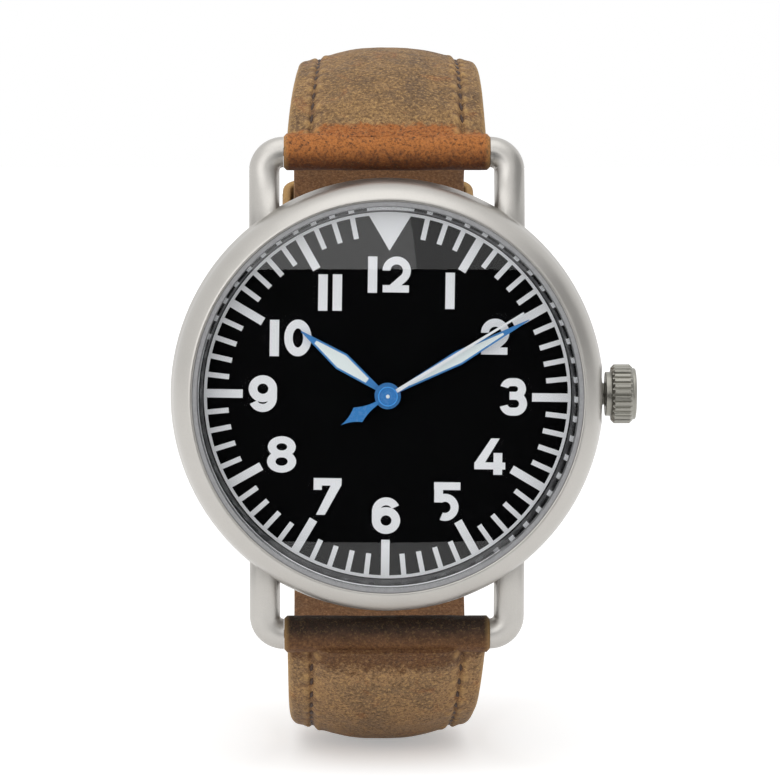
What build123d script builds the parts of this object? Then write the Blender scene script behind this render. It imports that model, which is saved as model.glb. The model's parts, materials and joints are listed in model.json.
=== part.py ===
from build123d import *
import math
import os

# Pilot watch on a closed leather strap, in millimetres.
# Row frame: origin at the centre of the case back's outer face, +X to 3 o'clock, +Z to 12 o'clock, +Y to the wrist.
# The head is modelled lying on its back, with its own z from the case back up to the crystal, then turned upright.

# Clearances and overruns
OVERRUN = 0.6
RUNNING_GAP = 0.02
SLIDING_GAP = 0.03
SEAT_GAP = 0.05
PART_GAP = 0.10
STRAP_GAP = 0.25

# Case middle
CASE_RADIUS = 21.0
CASE_BOTTOM_Z = 1.1
CASE_HEIGHT = 5.8
CASE_FOOT_INSET = 1.0
CASE_FOOT_HEIGHT = 2.2
CASE_SHOULDER_INSET = 0.28
CASE_SHOULDER_HEIGHT = 1.5
CASE_WALL = 2.65
CASE_TOP_Z = CASE_BOTTOM_Z + CASE_HEIGHT
CASE_FOOT_RADIUS = CASE_RADIUS - CASE_FOOT_INSET
CASE_SHOULDER_RADIUS = CASE_RADIUS - CASE_SHOULDER_INSET
CASE_BORE_RADIUS = CASE_RADIUS - CASE_WALL

# Lugs, bent from round wire and welded to the case side
LUG_WIRE_RADIUS = 1.475
LUG_SPACING = 20.1
LUG_BEND_ROOM = 0.375
LUG_BEND_RADIUS = LUG_WIRE_RADIUS + LUG_BEND_ROOM
LUG_ROOT_DEPTH = 5.25
LUG_ROOT_Y = CASE_RADIUS - LUG_ROOT_DEPTH
LUG_ROOT_Z = 4.3
BAR_REACH = 2.5
BAR_Y = CASE_RADIUS + BAR_REACH
BAR_Z = 3.0
BAR_HOLE_RADIUS = 0.45
BAR_HOLE_DEPTH = 1.4

# Bezel
BEZEL_SEAT_INSET = 1.83
BEZEL_SKIRT_DEPTH = 0.8
BEZEL_FOOT_STEP = 0.1
BEZEL_HEIGHT = 3.55
BEZEL_TOP_INSET = 1.9
BEZEL_DOME_INSET = 0.72
BEZEL_DOME_RISE = 2.3
BEZEL_MOUTH_INSET = 2.15
BEZEL_LEDGE_DEPTH = 1.25
BEZEL_LEDGE_THICKNESS = 0.3
BEZEL_LEDGE_INSET = 2.9
BEZEL_SEAT_RADIUS = CASE_RADIUS - BEZEL_SEAT_INSET
BEZEL_TOP_Z = CASE_TOP_Z + BEZEL_HEIGHT
BEZEL_TOP_OUTER_RADIUS = CASE_RADIUS - BEZEL_TOP_INSET
BEZEL_DOME_RADIUS_AT = CASE_RADIUS - BEZEL_DOME_INSET
BEZEL_DOME_Z_AT = CASE_TOP_Z + BEZEL_DOME_RISE
BEZEL_MOUTH_RADIUS = CASE_RADIUS - BEZEL_MOUTH_INSET
BEZEL_LEDGE_TOP_Z = BEZEL_TOP_Z - BEZEL_LEDGE_DEPTH
BEZEL_LEDGE_RADIUS = CASE_RADIUS - BEZEL_LEDGE_INSET

# Crystal and its gasket
GASKET_WALL = 0.48
GASKET_FOOT = 0.25
GASKET_TOP_GAP = 0.15
GASKET_TOP_Z = BEZEL_TOP_Z - GASKET_TOP_GAP
CRYSTAL_EDGE_HEIGHT = 1.0
CRYSTAL_RISE = 1.15
CRYSTAL_LAND_RADIUS = 2.5

# Rehaut ring
REHAUT_FOOT_WIDTH = 0.7
REHAUT_TOP_WIDTH = 0.35
REHAUT_INNER_RADIUS = CASE_BORE_RADIUS - REHAUT_FOOT_WIDTH
REHAUT_TOP_INNER_RADIUS = CASE_BORE_RADIUS - REHAUT_TOP_WIDTH

# Dial
DIAL_RADIUS = CASE_BORE_RADIUS - PART_GAP
DIAL_Z = 6.0
DIAL_THICKNESS = 0.4
DIAL_HOLE_RADIUS = 0.9
DIAL_FOOT_RADIUS = 0.4
DIAL_FOOT_INSET = 0.9
DIAL_FOOT_ANGLES = (62, 242)
DIAL_FOOT_LENGTH = 1.6

# Case back
BACK_FLANGE_INSET = 1.4
BACK_FLANGE_RADIUS = CASE_RADIUS - BACK_FLANGE_INSET
BACK_EDGE_CHAMFER = 0.35
BACK_NECK_HEIGHT = 1.2
BACK_NECK_WALL = 0.9
KEY_NOTCHES = 6
KEY_NOTCH_WIDTH = 3.0
KEY_NOTCH_DEPTH = 1.0
KEY_NOTCH_HEIGHT = 0.6
BACK_GASKET_INSET = 1.9
BACK_GASKET_RADIUS = CASE_RADIUS - BACK_GASKET_INSET
BACK_GASKET_WIDTH = 0.5
BACK_GASKET_HEIGHT = 0.4

# Crown, its tube and its stem
CROWN_Z = 4.0
CROWN_RECESS_GAP = 0.075
CROWN_RECESS_DEPTH = 0.55
TUBE_RADIUS = 1.2
TUBE_BORE_RADIUS = 0.72
TUBE_REACH = 1.6
CROWN_GAP = 0.2
CROWN_FLANGE_RADIUS = 2.15
CROWN_FLANGE_LENGTH = 0.55
CROWN_RADIUS = 2.875
CROWN_GRIP_LENGTH = 2.1
CROWN_GRIP_CHAMFER = 0.3
CROWN_RIDGES = 30
CROWN_RIDGE_DEPTH = 0.2
CROWN_CAP_RADIUS = 2.5
CROWN_CAP_LENGTH = 0.4
CROWN_CAP_LAND_RADIUS = 1.4
CROWN_CAP_FALL = 0.1
CROWN_CAP_CHAMFER = 0.15
CROWN_BORE_ROOM = 0.45
O_RING_WIRE_RADIUS = 0.17
O_RING_SIDES = 8
O_RING_GROOVE_WIDTH = 0.5
O_RING_DEPTH = 0.75
STEM_RADIUS = 0.55
STEM_SOCKET_DEPTH = 0.55
CROWN_RECESS_RADIUS = CROWN_RADIUS + CROWN_RECESS_GAP
CROWN_RECESS_X = CASE_RADIUS - CROWN_RECESS_DEPTH
TUBE_END_X = CASE_RADIUS + TUBE_REACH
CROWN_FLANGE_X = CASE_RADIUS + CROWN_GAP
CROWN_BORE_RADIUS = TUBE_RADIUS + PART_GAP
CROWN_BORE_END_X = TUBE_END_X + CROWN_BORE_ROOM
O_RING_X = CROWN_FLANGE_X + O_RING_DEPTH
O_RING_RADIUS = TUBE_RADIUS + RUNNING_GAP + O_RING_WIRE_RADIUS
O_RING_GROOVE_RADIUS = O_RING_RADIUS + O_RING_WIRE_RADIUS + RUNNING_GAP
STEM_SOCKET_X = CROWN_BORE_END_X + STEM_SOCKET_DEPTH
STEM_GROOVE_X = 9.25
STEM_GROOVE_LENGTH = 0.7
STEM_GROOVE_RADIUS = 0.3
STEM_COLLAR_X = 8.75
STEM_SQUARE_HALF = 0.28
STEM_SQUARE_X = 6.3
CLUTCH_X = 6.9
CLUTCH_LENGTH = 1.4
CLUTCH_RADIUS = 0.9
CLUTCH_TEETH = 10
CLUTCH_TOOTH_DEPTH = 0.3
CLUTCH_BODY_RADIUS = 0.7

# Movement holder, main plate and train bridge
PLATE_RADIUS = 12.8
PLATE_Z = 4.3
PLATE_TOP_Z = 5.1
RIM_INNER_RADIUS = 11.3
RIM_Z = 2.6
HOLDER_Z = CASE_BOTTOM_Z + BACK_NECK_HEIGHT + PART_GAP
DIAL_FOOT_CIRCLE = PLATE_RADIUS - DIAL_FOOT_INSET
HOLDER_STEM_HOLE_RADIUS = 0.8
BRIDGE_Z = 2.0
BRIDGE_RADIUS = 12.5
BRIDGE_LEFT_X = -5.0
BRIDGE_RIGHT_X = 1.6
SCREW_PLACES = ((-3.4, 11.45), (-3.4, -11.45), (0.4, -11.95))
SCREW_HEAD_RADIUS = 0.55
SCREW_HEAD_HEIGHT = 0.25
SCREW_SHANK_RADIUS = 0.32
SCREW_LENGTH = 1.6
PIVOT_RADIUS = 0.12
ARBOR_RADIUS = 0.15
PIVOT_TOP_Z = 4.9
PIVOT_BOTTOM_Z = 2.1

# Power and circuit
BATTERY_RADIUS = 3.4
BATTERY_HEIGHT = 2.6
BATTERY_X = 5.8
BATTERY_Y = -4.9
BATTERY_STEP = 0.35
BOARD_Z = 2.35
BOARD_THICKNESS = 0.25
BOARD_LEFT_X = 2.6
BOARD_RIGHT_X = 8.8
BOARD_BOTTOM_Y = 2.0
BOARD_RADIUS = 11.9
CHIP_SIZE = 1.6
CHIP_HEIGHT = 0.35
CHIP_X = 4.2
CHIP_Y = 3.6
CAN_RADIUS = 0.7
CAN_LENGTH = 4.6
CAN_X = 3.4
CAN_Y = 6.6
COIL_X = -6.8
COIL_Z = 3.5
COIL_BOTTOM_Y = -4.2
COIL_TOP_Y = 2.3
COIL_RADIUS = 0.75
CORE_HALF_WIDTH = 0.4
CORE_HALF_THICKNESS = 0.2
CORE_OVERHANG = 0.95
STATOR_THICKNESS = 0.4
STATOR_LEFT_X = -7.4
STATOR_ARM_HALF_HEIGHT = 1.35
STATOR_ARM_REACH = 1.4
STATOR_LEG_WIDTH = 0.7
STATOR_LEG_X = -4.6
STATOR_HOLE_RADIUS = 0.95

# Gearing
ROTOR_LEAVES, INTERMEDIATE_TEETH = 6, 36
INTERMEDIATE_LEAVES, SECONDS_TEETH = 6, 30
SECONDS_LEAVES, THIRD_TEETH = 6, 45
THIRD_LEAVES, CENTRE_TEETH = 6, 48
CANNON_LEAVES, MINUTE_WHEEL_TEETH = 10, 30
MINUTE_WHEEL_LEAVES, HOUR_WHEEL_TEETH = 8, 32
SETTING_TEETH = 20
MOTION_MODULE = 0.12
ROTOR_MODULE = 0.12
THIRD_DISTANCE = 2.9
THIRD_DIRECTION = 250
INTERMEDIATE_DISTANCE = 2.9
INTERMEDIATE_DIRECTION = 120
ROTOR_DIRECTION = 140
TIP_SHARE = 1.0
ROOT_SHARE = 1.25
TOOTH_TIP_SHARE = 0.12
TOOTH_ROOT_SHARE = 0.30
WHEEL_THICKNESS = 0.2
SECONDS_WHEEL_Z = 2.75
SECONDS_PINION_TOP_Z = 3.44
THIRD_WHEEL_Z = 3.2
THIRD_PINION_Z = 3.4
THIRD_PINION_TOP_Z = 4.1
CENTRE_WHEEL_Z = 3.75
CENTRE_TUBE_Z = 3.7
CENTRE_TUBE_TOP_Z = 5.6
CENTRE_TUBE_RADIUS = 0.30
INTERMEDIATE_PINION_Z = 2.65
INTERMEDIATE_PINION_TOP_Z = 3.05
INTERMEDIATE_WHEEL_Z = 3.48
INTERMEDIATE_WHEEL_THICKNESS = 0.15
ROTOR_PINION_Z = 3.35
MAGNET_Z = 3.88
MAGNET_HEIGHT = 0.34
MAGNET_RADIUS = 0.8
CANNON_TUBE_RADIUS = 0.45
CANNON_PINION_TOP_Z = 5.45
MINUTE_PINION_TOP_Z = 5.78
HOUR_WHEEL_Z = 5.52
HOUR_TUBE_RADIUS = 0.68
STUD_RADIUS = 0.28
STUD_TOP_Z = 5.88

# Setting lever
LEVER_PIVOT_Y = 3.0
LEVER_Z = 3.85
LEVER_THICKNESS = 0.3
LEVER_WIDTH = 0.95
LEVER_FINGER_WIDTH = 0.42
LEVER_FINGER_LENGTH = 1.3
LEVER_FINGER_END_Y = 0.36
LEVER_POST_RADIUS = 0.3

# Hands
HOUR_HAND_Z = 6.75
MINUTE_HAND_Z = 7.35
SECONDS_HAND_Z = 7.95
HAND_THICKNESS = 0.2
HAND_HUB_RADIUS = 1.26
HOUR_TIP_INSET = 7.25
HOUR_SHOULDER_SHARE = 0.534
HOUR_SHOULDER_HALF = 0.88
HOUR_ROOT_HALF = 0.24
HOUR_TIP_HALF = 0.05
HOUR_LUME_START = 2.45
HOUR_LUME_END_SHARE = 0.8365
MINUTE_TIP_INSET = 2.15
MINUTE_SHOULDER_SHARE = 0.503
MINUTE_SHOULDER_HALF = 0.70
MINUTE_ROOT_HALF = 0.20
MINUTE_TIP_HALF = 0.04
MINUTE_LUME_START = 2.35
MINUTE_LUME_END_SHARE = 0.8194
LUME_BORDER = 0.17
LUME_PROUD = 0.03
LUME_END_HALF = 0.1
SECONDS_TIP_INSET = 2.25
SECONDS_HAND_THICKNESS = 0.14
SECONDS_ROOT_HALF = 0.19
SECONDS_TIP_HALF = 0.09
SECONDS_HUB_RADIUS = 0.97
SECONDS_HUB_HEIGHT = 0.2
SECONDS_ARBOR_TOP_Z = 8.22
TAIL_NECK_HALF = 0.17
TAIL_SHOULDER_AT = 3.38
TAIL_SHOULDER_HALF = 0.82
TAIL_LENGTH = 5.3
TAIL_HOLLOW = 0.16
HOUR_ANGLE = 306.8
MINUTE_ANGLE = 61.7
SECONDS_ANGLE = 58.5
HOUR_HAND_LENGTH = REHAUT_INNER_RADIUS - HOUR_TIP_INSET
HOUR_SHOULDER_AT = HOUR_HAND_LENGTH * HOUR_SHOULDER_SHARE
HOUR_LUME_END = HOUR_HAND_LENGTH * HOUR_LUME_END_SHARE
MINUTE_HAND_LENGTH = REHAUT_INNER_RADIUS - MINUTE_TIP_INSET
MINUTE_SHOULDER_AT = MINUTE_HAND_LENGTH * MINUTE_SHOULDER_SHARE
MINUTE_LUME_END = MINUTE_HAND_LENGTH * MINUTE_LUME_END_SHARE
SECONDS_HAND_LENGTH = REHAUT_INNER_RADIUS - SECONDS_TIP_INSET

# Strap, lying on a round loop about the wrist
LOOP_RADIUS = 30.9
LOOP_Y = 18.0
LOOP_DROP = 1.1
LOOP_SETTLE_ANGLE = 20
STRAP_SIDE_GAP = 0.2
STRAP_WIDTH = LUG_SPACING - 2 * STRAP_SIDE_GAP
STRAP_END_WIDTH = 18.0
LINING_THICKNESS = 0.9
UPPER_EDGE = 1.6
EDGE_BEAD = 0.25
STITCH_MARGIN = 2.4
ROLL_RADIUS = 1.78
ROLL_BORE_RADIUS = 0.9
BAR_TUBE_RADIUS = 0.75
BAR_TUBE_BORE_RADIUS = 0.5
BAR_PIN_RADIUS = 0.4
BAR_PIN_FLANGE_RADIUS = 0.46
BAR_PIN_REACH = 1.2
BAR_PIN_INSIDE = 2.5
BAR_TUBE_END_GAP = 0.4
SHORT_CROWN = 1.85
SHORT_CROWN_START = 0.9
LONG_CROWN = 1.95
FLAT_CROWN = 0.35
SHORT_END_ANGLE = -6
SHORT_CROWN_FULL_AFTER = 9
SHORT_CROWN_FULL_UNTIL = 88
SHORT_CROWN_FLAT_FROM = 60
LONG_CROWN_FULL_UNTIL = -75
LONG_CROWN_FLAT_FROM = -40
SHORT_TAPER_END_ANGLE = 52
STEP_START_ANGLE = -26
STEP_END_ANGLE = -8
PASS_END_ANGLE = -3
TAIL_START_ANGLE = 3
TAIL_END_ANGLE = 58
TIP_START_ANGLE = 48
TIP_HALF_WIDTH = 1.6
TAIL_UPPER_EDGE = 1.1
SHORT_STATIONS = 15
LONG_STATIONS = 11
STEP_STATIONS = 5
PASS_STATIONS = 2
TAIL_STATIONS = 6
TIP_STATIONS = 4
HOLE_LENGTH = 2.8
HOLE_WIDTH = 1.8
TANG_HOLE_LENGTH = 5.4
HOLE_FIRST_ANGLE = -38
HOLE_PITCH_ANGLE = 11
HOLE_COUNT = 8
TANG_HOLE_ANGLE = -10.2
TANG_SLOT_WIDTH = 2.4

# Keepers
KEEPER_LENGTH = 5.0
KEEPER_THICKNESS = 1.0
KEEPER_CORNER = 0.8
FIXED_KEEPER_ANGLE = 8
FLOATING_KEEPER_ANGLE = 30

# Buckle
BUCKLE_BAR_ANGLE = -28
BUCKLE_BAR_LIFT = 1.2
END_ROLL_RADIUS = 1.65
END_ROLL_BORE_RADIUS = 0.82
BUCKLE_PIN_RADIUS = 0.75
BUCKLE_THICKNESS = 2.0
BUCKLE_BAR_WIDTH = 2.2
BUCKLE_ARM_WIDTH = 1.6
BUCKLE_ARM_GAP = 0.35
BUCKLE_EAR = 1.5
BUCKLE_CORNER = 2.4
BUCKLE_EDGE = 0.4
TANG_WIDTH = 1.6
TANG_THICKNESS = 0.9
TANG_EYE_RADIUS = 1.45
TANG_HUMP_AT = 4.4
TANG_HUMP_HEIGHT = 3.9
TANG_OVERHANG = 0.9


def outline(*edges):
    """Flat face bounded by a closed chain of edges."""
    return make_face(list(edges))


def turned(*edges):
    """Solid of revolution about z from a closed chain of edges in the xz plane."""
    return revolve(outline(*edges), Axis.Z)


def at(radius, z):
    """Point of a turned profile."""
    return (radius, 0, z)


def disc(radius, bottom, top, x=0, y=0):
    """Upright cylinder between two heights."""
    return Pos(x, y, bottom) * Cylinder(radius, top - bottom, align=(Align.CENTER, Align.CENTER, Align.MIN))


def tube(outer, inner, bottom, top, x=0, y=0):
    """Upright tube between two heights."""
    return disc(outer, bottom, top, x, y) - disc(inner, bottom - OVERRUN, top + OVERRUN, x, y)


def rod(radius, start, end, y=0, z=0):
    """Cylinder along x between two places."""
    turn = Pos(start, y, z) * Rot(0, 90, 0)
    return turn * Cylinder(radius, end - start, align=(Align.CENTER, Align.CENTER, Align.MIN))


def block(left, right, front, back, bottom, top):
    """Box between six faces."""
    size = Box(right - left, back - front, top - bottom, align=(Align.MIN, Align.MIN, Align.MIN))
    return Pos(left, front, bottom) * size


def polar(distance, direction):
    """Place at a distance and a direction in degrees."""
    return distance * math.cos(math.radians(direction)), distance * math.sin(math.radians(direction))


def blend(share, start, end):
    """Value between two others."""
    return start + (end - start) * share


def smooth(share):
    """Share eased at both ends."""
    share = min(max(share, 0), 1)
    return share * share * (3 - 2 * share)


# Case


def case_middle():
    """Ring with a drawn-in foot and shoulder, four wire lugs, the crown's recess and tube hole."""
    ring = turned(
        Polyline(
            at(CASE_FOOT_RADIUS, CASE_BOTTOM_Z),
            at(CASE_RADIUS, CASE_BOTTOM_Z + CASE_FOOT_HEIGHT),
            at(CASE_RADIUS, CASE_TOP_Z - CASE_SHOULDER_HEIGHT),
            at(CASE_SHOULDER_RADIUS, CASE_TOP_Z),
            at(BEZEL_SEAT_RADIUS, CASE_TOP_Z),
            at(BEZEL_SEAT_RADIUS, CASE_TOP_Z - BEZEL_SKIRT_DEPTH),
            at(CASE_BORE_RADIUS, CASE_TOP_Z - BEZEL_SKIRT_DEPTH),
            at(CASE_BORE_RADIUS, CASE_BOTTOM_Z),
            close=True,
        )
    )
    groove_inner = BACK_GASKET_RADIUS - BACK_GASKET_WIDTH / 2
    groove_outer = BACK_GASKET_RADIUS + BACK_GASKET_WIDTH / 2
    ring -= tube(groove_outer, groove_inner, CASE_BOTTOM_Z - OVERRUN, CASE_BOTTOM_Z + BACK_GASKET_HEIGHT)
    wire = lug()
    lugs = [wire, mirror(wire, Plane.YZ), mirror(wire, Plane.XZ), mirror(mirror(wire, Plane.YZ), Plane.XZ)]
    for piece in lugs:
        ring += piece
    ring -= rod(CROWN_RECESS_RADIUS, CROWN_RECESS_X, CASE_RADIUS + OVERRUN, z=CROWN_Z)
    ring -= rod(TUBE_RADIUS, CASE_BORE_RADIUS - OVERRUN, CASE_RADIUS + OVERRUN, z=CROWN_Z)
    return ring


def lug():
    """One wire lug at the upper right: a leaning rod with a quarter bend to the strap, drilled for the spring bar."""
    wire_x = LUG_SPACING / 2 + LUG_BEND_RADIUS
    rise, drop = BAR_Y - LUG_ROOT_Y, LUG_ROOT_Z - BAR_Z
    length = math.hypot(rise, drop)
    lean = (0, rise / length, -drop / length)
    root = Plane(origin=(wire_x, LUG_ROOT_Y, LUG_ROOT_Z), x_dir=(1, 0, 0), z_dir=lean)
    straight = extrude(root * Circle(LUG_WIRE_RADIUS), length - LUG_BEND_RADIUS)
    run = length - LUG_BEND_RADIUS
    corner = (wire_x, LUG_ROOT_Y + lean[1] * run, LUG_ROOT_Z + lean[2] * run)
    centre = (wire_x - LUG_BEND_RADIUS, corner[1], corner[2])
    turn_axis = Axis(centre, (0, -lean[2], lean[1]))
    end = Plane(origin=corner, x_dir=(1, 0, 0), z_dir=lean)
    bend = revolve(end * Circle(LUG_WIRE_RADIUS), turn_axis, 90)
    hole = rod(BAR_HOLE_RADIUS, LUG_SPACING / 2 - OVERRUN, LUG_SPACING / 2 + BAR_HOLE_DEPTH, BAR_Y, BAR_Z)
    return straight + bend - hole


def bezel():
    """Domed ring with a skirt in the case, a ledge under the crystal and a mouth for the gasket."""
    foot = CASE_SHOULDER_RADIUS
    dome = ThreePointArc(
        at(foot, CASE_TOP_Z + BEZEL_FOOT_STEP),
        at(BEZEL_DOME_RADIUS_AT, BEZEL_DOME_Z_AT),
        at(BEZEL_TOP_OUTER_RADIUS, BEZEL_TOP_Z),
    )
    ledge_z = BEZEL_LEDGE_TOP_Z - BEZEL_LEDGE_THICKNESS
    skirt_radius = BEZEL_SEAT_RADIUS - RUNNING_GAP
    inside = Polyline(
        at(BEZEL_TOP_OUTER_RADIUS, BEZEL_TOP_Z),
        at(BEZEL_MOUTH_RADIUS, BEZEL_TOP_Z),
        at(BEZEL_MOUTH_RADIUS, BEZEL_LEDGE_TOP_Z),
        at(BEZEL_LEDGE_RADIUS, BEZEL_LEDGE_TOP_Z),
        at(BEZEL_LEDGE_RADIUS, ledge_z),
        at(CASE_BORE_RADIUS, ledge_z),
        at(CASE_BORE_RADIUS, CASE_TOP_Z - BEZEL_SKIRT_DEPTH),
        at(skirt_radius, CASE_TOP_Z - BEZEL_SKIRT_DEPTH),
        at(skirt_radius, CASE_TOP_Z),
        at(foot - BEZEL_FOOT_STEP, CASE_TOP_Z),
        at(foot, CASE_TOP_Z + BEZEL_FOOT_STEP),
    )
    return turned(dome, inside)


def crystal_gasket():
    """L-shaped ring beside and under the crystal."""
    outer = BEZEL_MOUTH_RADIUS
    wall_inner = outer - GASKET_WALL
    return turned(
        Polyline(
            at(BEZEL_LEDGE_RADIUS, BEZEL_LEDGE_TOP_Z),
            at(outer, BEZEL_LEDGE_TOP_Z),
            at(outer, GASKET_TOP_Z),
            at(wall_inner, GASKET_TOP_Z),
            at(wall_inner, BEZEL_LEDGE_TOP_Z + GASKET_FOOT),
            at(BEZEL_LEDGE_RADIUS, BEZEL_LEDGE_TOP_Z + GASKET_FOOT),
            close=True,
        )
    )


def crystal():
    """Glass with a flat underside and a shallow dome round a small flat land."""
    radius = BEZEL_MOUTH_RADIUS - GASKET_WALL
    bottom = BEZEL_LEDGE_TOP_Z + GASKET_FOOT
    edge_z = bottom + CRYSTAL_EDGE_HEIGHT
    land = dome_point(CRYSTAL_LAND_RADIUS, radius, edge_z, CRYSTAL_RISE)
    middle = dome_point((CRYSTAL_LAND_RADIUS + radius) / 2, radius, edge_z, CRYSTAL_RISE)
    edge = at(radius, edge_z)
    return turned(
        ThreePointArc(land, middle, edge),
        Polyline(edge, at(radius, bottom), at(0, bottom), at(0, land[2]), land),
    )


def dome_point(distance, radius, edge_z, rise):
    """Point of a shallow dome's arc at a distance from its axis."""
    sphere = (radius * radius + rise * rise) / (2 * rise)
    return at(distance, edge_z + rise - sphere + math.sqrt(sphere * sphere - distance * distance))


def rehaut_ring():
    """Steep ring between dial and bezel ledge."""
    bottom = DIAL_Z + DIAL_THICKNESS
    top = BEZEL_LEDGE_TOP_Z - BEZEL_LEDGE_THICKNESS
    outer = CASE_BORE_RADIUS - SEAT_GAP
    return turned(
        Polyline(
            at(REHAUT_INNER_RADIUS, bottom),
            at(outer, bottom),
            at(outer, top),
            at(REHAUT_TOP_INNER_RADIUS, top),
            close=True,
        )
    )


def dial():
    """Disc with a centre hole and two feet."""
    plate = tube(DIAL_RADIUS, DIAL_HOLE_RADIUS, DIAL_Z, DIAL_Z + DIAL_THICKNESS)
    for angle in DIAL_FOOT_ANGLES:
        x, y = polar(DIAL_FOOT_CIRCLE, angle)
        plate += disc(DIAL_FOOT_RADIUS, DIAL_Z - DIAL_FOOT_LENGTH, DIAL_Z, x, y)
    return plate


def case_back():
    """Screwed back: flange with key notches, and a neck in the case."""
    neck_outer = CASE_BORE_RADIUS
    neck_inner = neck_outer - BACK_NECK_WALL
    back = turned(
        Polyline(
            at(0, 0),
            at(BACK_FLANGE_RADIUS - BACK_EDGE_CHAMFER, 0),
            at(BACK_FLANGE_RADIUS, BACK_EDGE_CHAMFER),
            at(BACK_FLANGE_RADIUS, CASE_BOTTOM_Z),
            at(neck_outer, CASE_BOTTOM_Z),
            at(neck_outer, CASE_BOTTOM_Z + BACK_NECK_HEIGHT),
            at(neck_inner, CASE_BOTTOM_Z + BACK_NECK_HEIGHT),
            at(neck_inner, CASE_BOTTOM_Z),
            at(0, CASE_BOTTOM_Z),
            close=True,
        )
    )
    notch = block(
        BACK_FLANGE_RADIUS - KEY_NOTCH_DEPTH,
        BACK_FLANGE_RADIUS + OVERRUN,
        -KEY_NOTCH_WIDTH / 2,
        KEY_NOTCH_WIDTH / 2,
        -OVERRUN,
        KEY_NOTCH_HEIGHT,
    )
    for index in range(KEY_NOTCHES):
        back -= Rot(0, 0, index * 360 / KEY_NOTCHES) * notch
    return back


def case_back_gasket():
    """Flat ring in the case's groove."""
    outer = BACK_GASKET_RADIUS + BACK_GASKET_WIDTH / 2
    inner = BACK_GASKET_RADIUS - BACK_GASKET_WIDTH / 2
    return tube(outer, inner, CASE_BOTTOM_Z, CASE_BOTTOM_Z + BACK_GASKET_HEIGHT)


# Crown and stem


def crown_tube():
    """Plain tube pressed in the case side."""
    start = CASE_BORE_RADIUS - SEAT_GAP
    outside = rod(TUBE_RADIUS, start, TUBE_END_X, z=CROWN_Z)
    return outside - rod(TUBE_BORE_RADIUS, start - OVERRUN, TUBE_END_X + OVERRUN, z=CROWN_Z)


def crown():
    """Flange, ridged grip with bevelled ends, end cap, bore for the tube and socket for the stem."""
    grip_start = CROWN_FLANGE_X + CROWN_FLANGE_LENGTH
    grip_end = grip_start + CROWN_GRIP_LENGTH
    cap_end = grip_end + CROWN_CAP_LENGTH
    tips = []
    for index in range(CROWN_RIDGES):
        pitch = 360 / CROWN_RIDGES
        root = CROWN_RADIUS - CROWN_RIDGE_DEPTH
        tips.append(polar(root, index * pitch - TOOTH_ROOT_SHARE * pitch))
        tips.append(polar(CROWN_RADIUS, index * pitch - TOOTH_TIP_SHARE * pitch))
        tips.append(polar(CROWN_RADIUS, index * pitch + TOOTH_TIP_SHARE * pitch))
        tips.append(polar(root, index * pitch + TOOTH_ROOT_SHARE * pitch))
    grip = Pos(0, 0, grip_start) * extrude(outline(Polyline(*tips, close=True)), CROWN_GRIP_LENGTH)
    bevelled = turned(
        Polyline(
            at(0, grip_start),
            at(CROWN_RADIUS - CROWN_GRIP_CHAMFER, grip_start),
            at(CROWN_RADIUS, grip_start + CROWN_GRIP_CHAMFER),
            at(CROWN_RADIUS, grip_end - CROWN_GRIP_CHAMFER),
            at(CROWN_RADIUS - CROWN_GRIP_CHAMFER, grip_end),
            at(0, grip_end),
            close=True,
        )
    )
    grip = grip & bevelled
    flange = disc(CROWN_FLANGE_RADIUS, CROWN_FLANGE_X, grip_start)
    cap = turned(
        Polyline(
            at(0, grip_end),
            at(0, cap_end),
            at(CROWN_CAP_LAND_RADIUS, cap_end),
            at(CROWN_CAP_RADIUS - CROWN_CAP_CHAMFER, cap_end - CROWN_CAP_FALL),
            at(CROWN_CAP_RADIUS, cap_end - CROWN_CAP_FALL - CROWN_CAP_CHAMFER),
            at(CROWN_CAP_RADIUS, grip_end),
            close=True,
        )
    )
    groove_start = O_RING_X - O_RING_GROOVE_WIDTH / 2
    body = grip + flange + cap
    body -= disc(CROWN_BORE_RADIUS, CROWN_FLANGE_X - OVERRUN, CROWN_BORE_END_X)
    body -= disc(O_RING_GROOVE_RADIUS, groove_start, groove_start + O_RING_GROOVE_WIDTH)
    body -= disc(STEM_RADIUS, CROWN_BORE_END_X - OVERRUN, STEM_SOCKET_X)
    return Pos(0, 0, CROWN_Z) * Rot(0, 90, 0) * body


def crown_gasket():
    """O-ring between crown and tube."""
    section = Plane.XZ * Pos(O_RING_RADIUS, 0) * RegularPolygon(O_RING_WIRE_RADIUS, O_RING_SIDES)
    return Pos(O_RING_X, 0, CROWN_Z) * Rot(0, 90, 0) * revolve(section, Axis.Z)


def stem():
    """Stem from the crown's socket to its pilot: shoulder, lever groove, collar and square."""
    groove_end = STEM_GROOVE_X + STEM_GROOVE_LENGTH
    turned_part = rod(STEM_RADIUS, groove_end, STEM_SOCKET_X, z=CROWN_Z)
    turned_part += rod(STEM_GROOVE_RADIUS, STEM_GROOVE_X, groove_end, z=CROWN_Z)
    turned_part += rod(STEM_RADIUS, STEM_COLLAR_X, STEM_GROOVE_X, z=CROWN_Z)
    square = block(
        STEM_SQUARE_X,
        STEM_COLLAR_X,
        -STEM_SQUARE_HALF,
        STEM_SQUARE_HALF,
        CROWN_Z - STEM_SQUARE_HALF,
        CROWN_Z + STEM_SQUARE_HALF,
    )
    return turned_part + square


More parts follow.
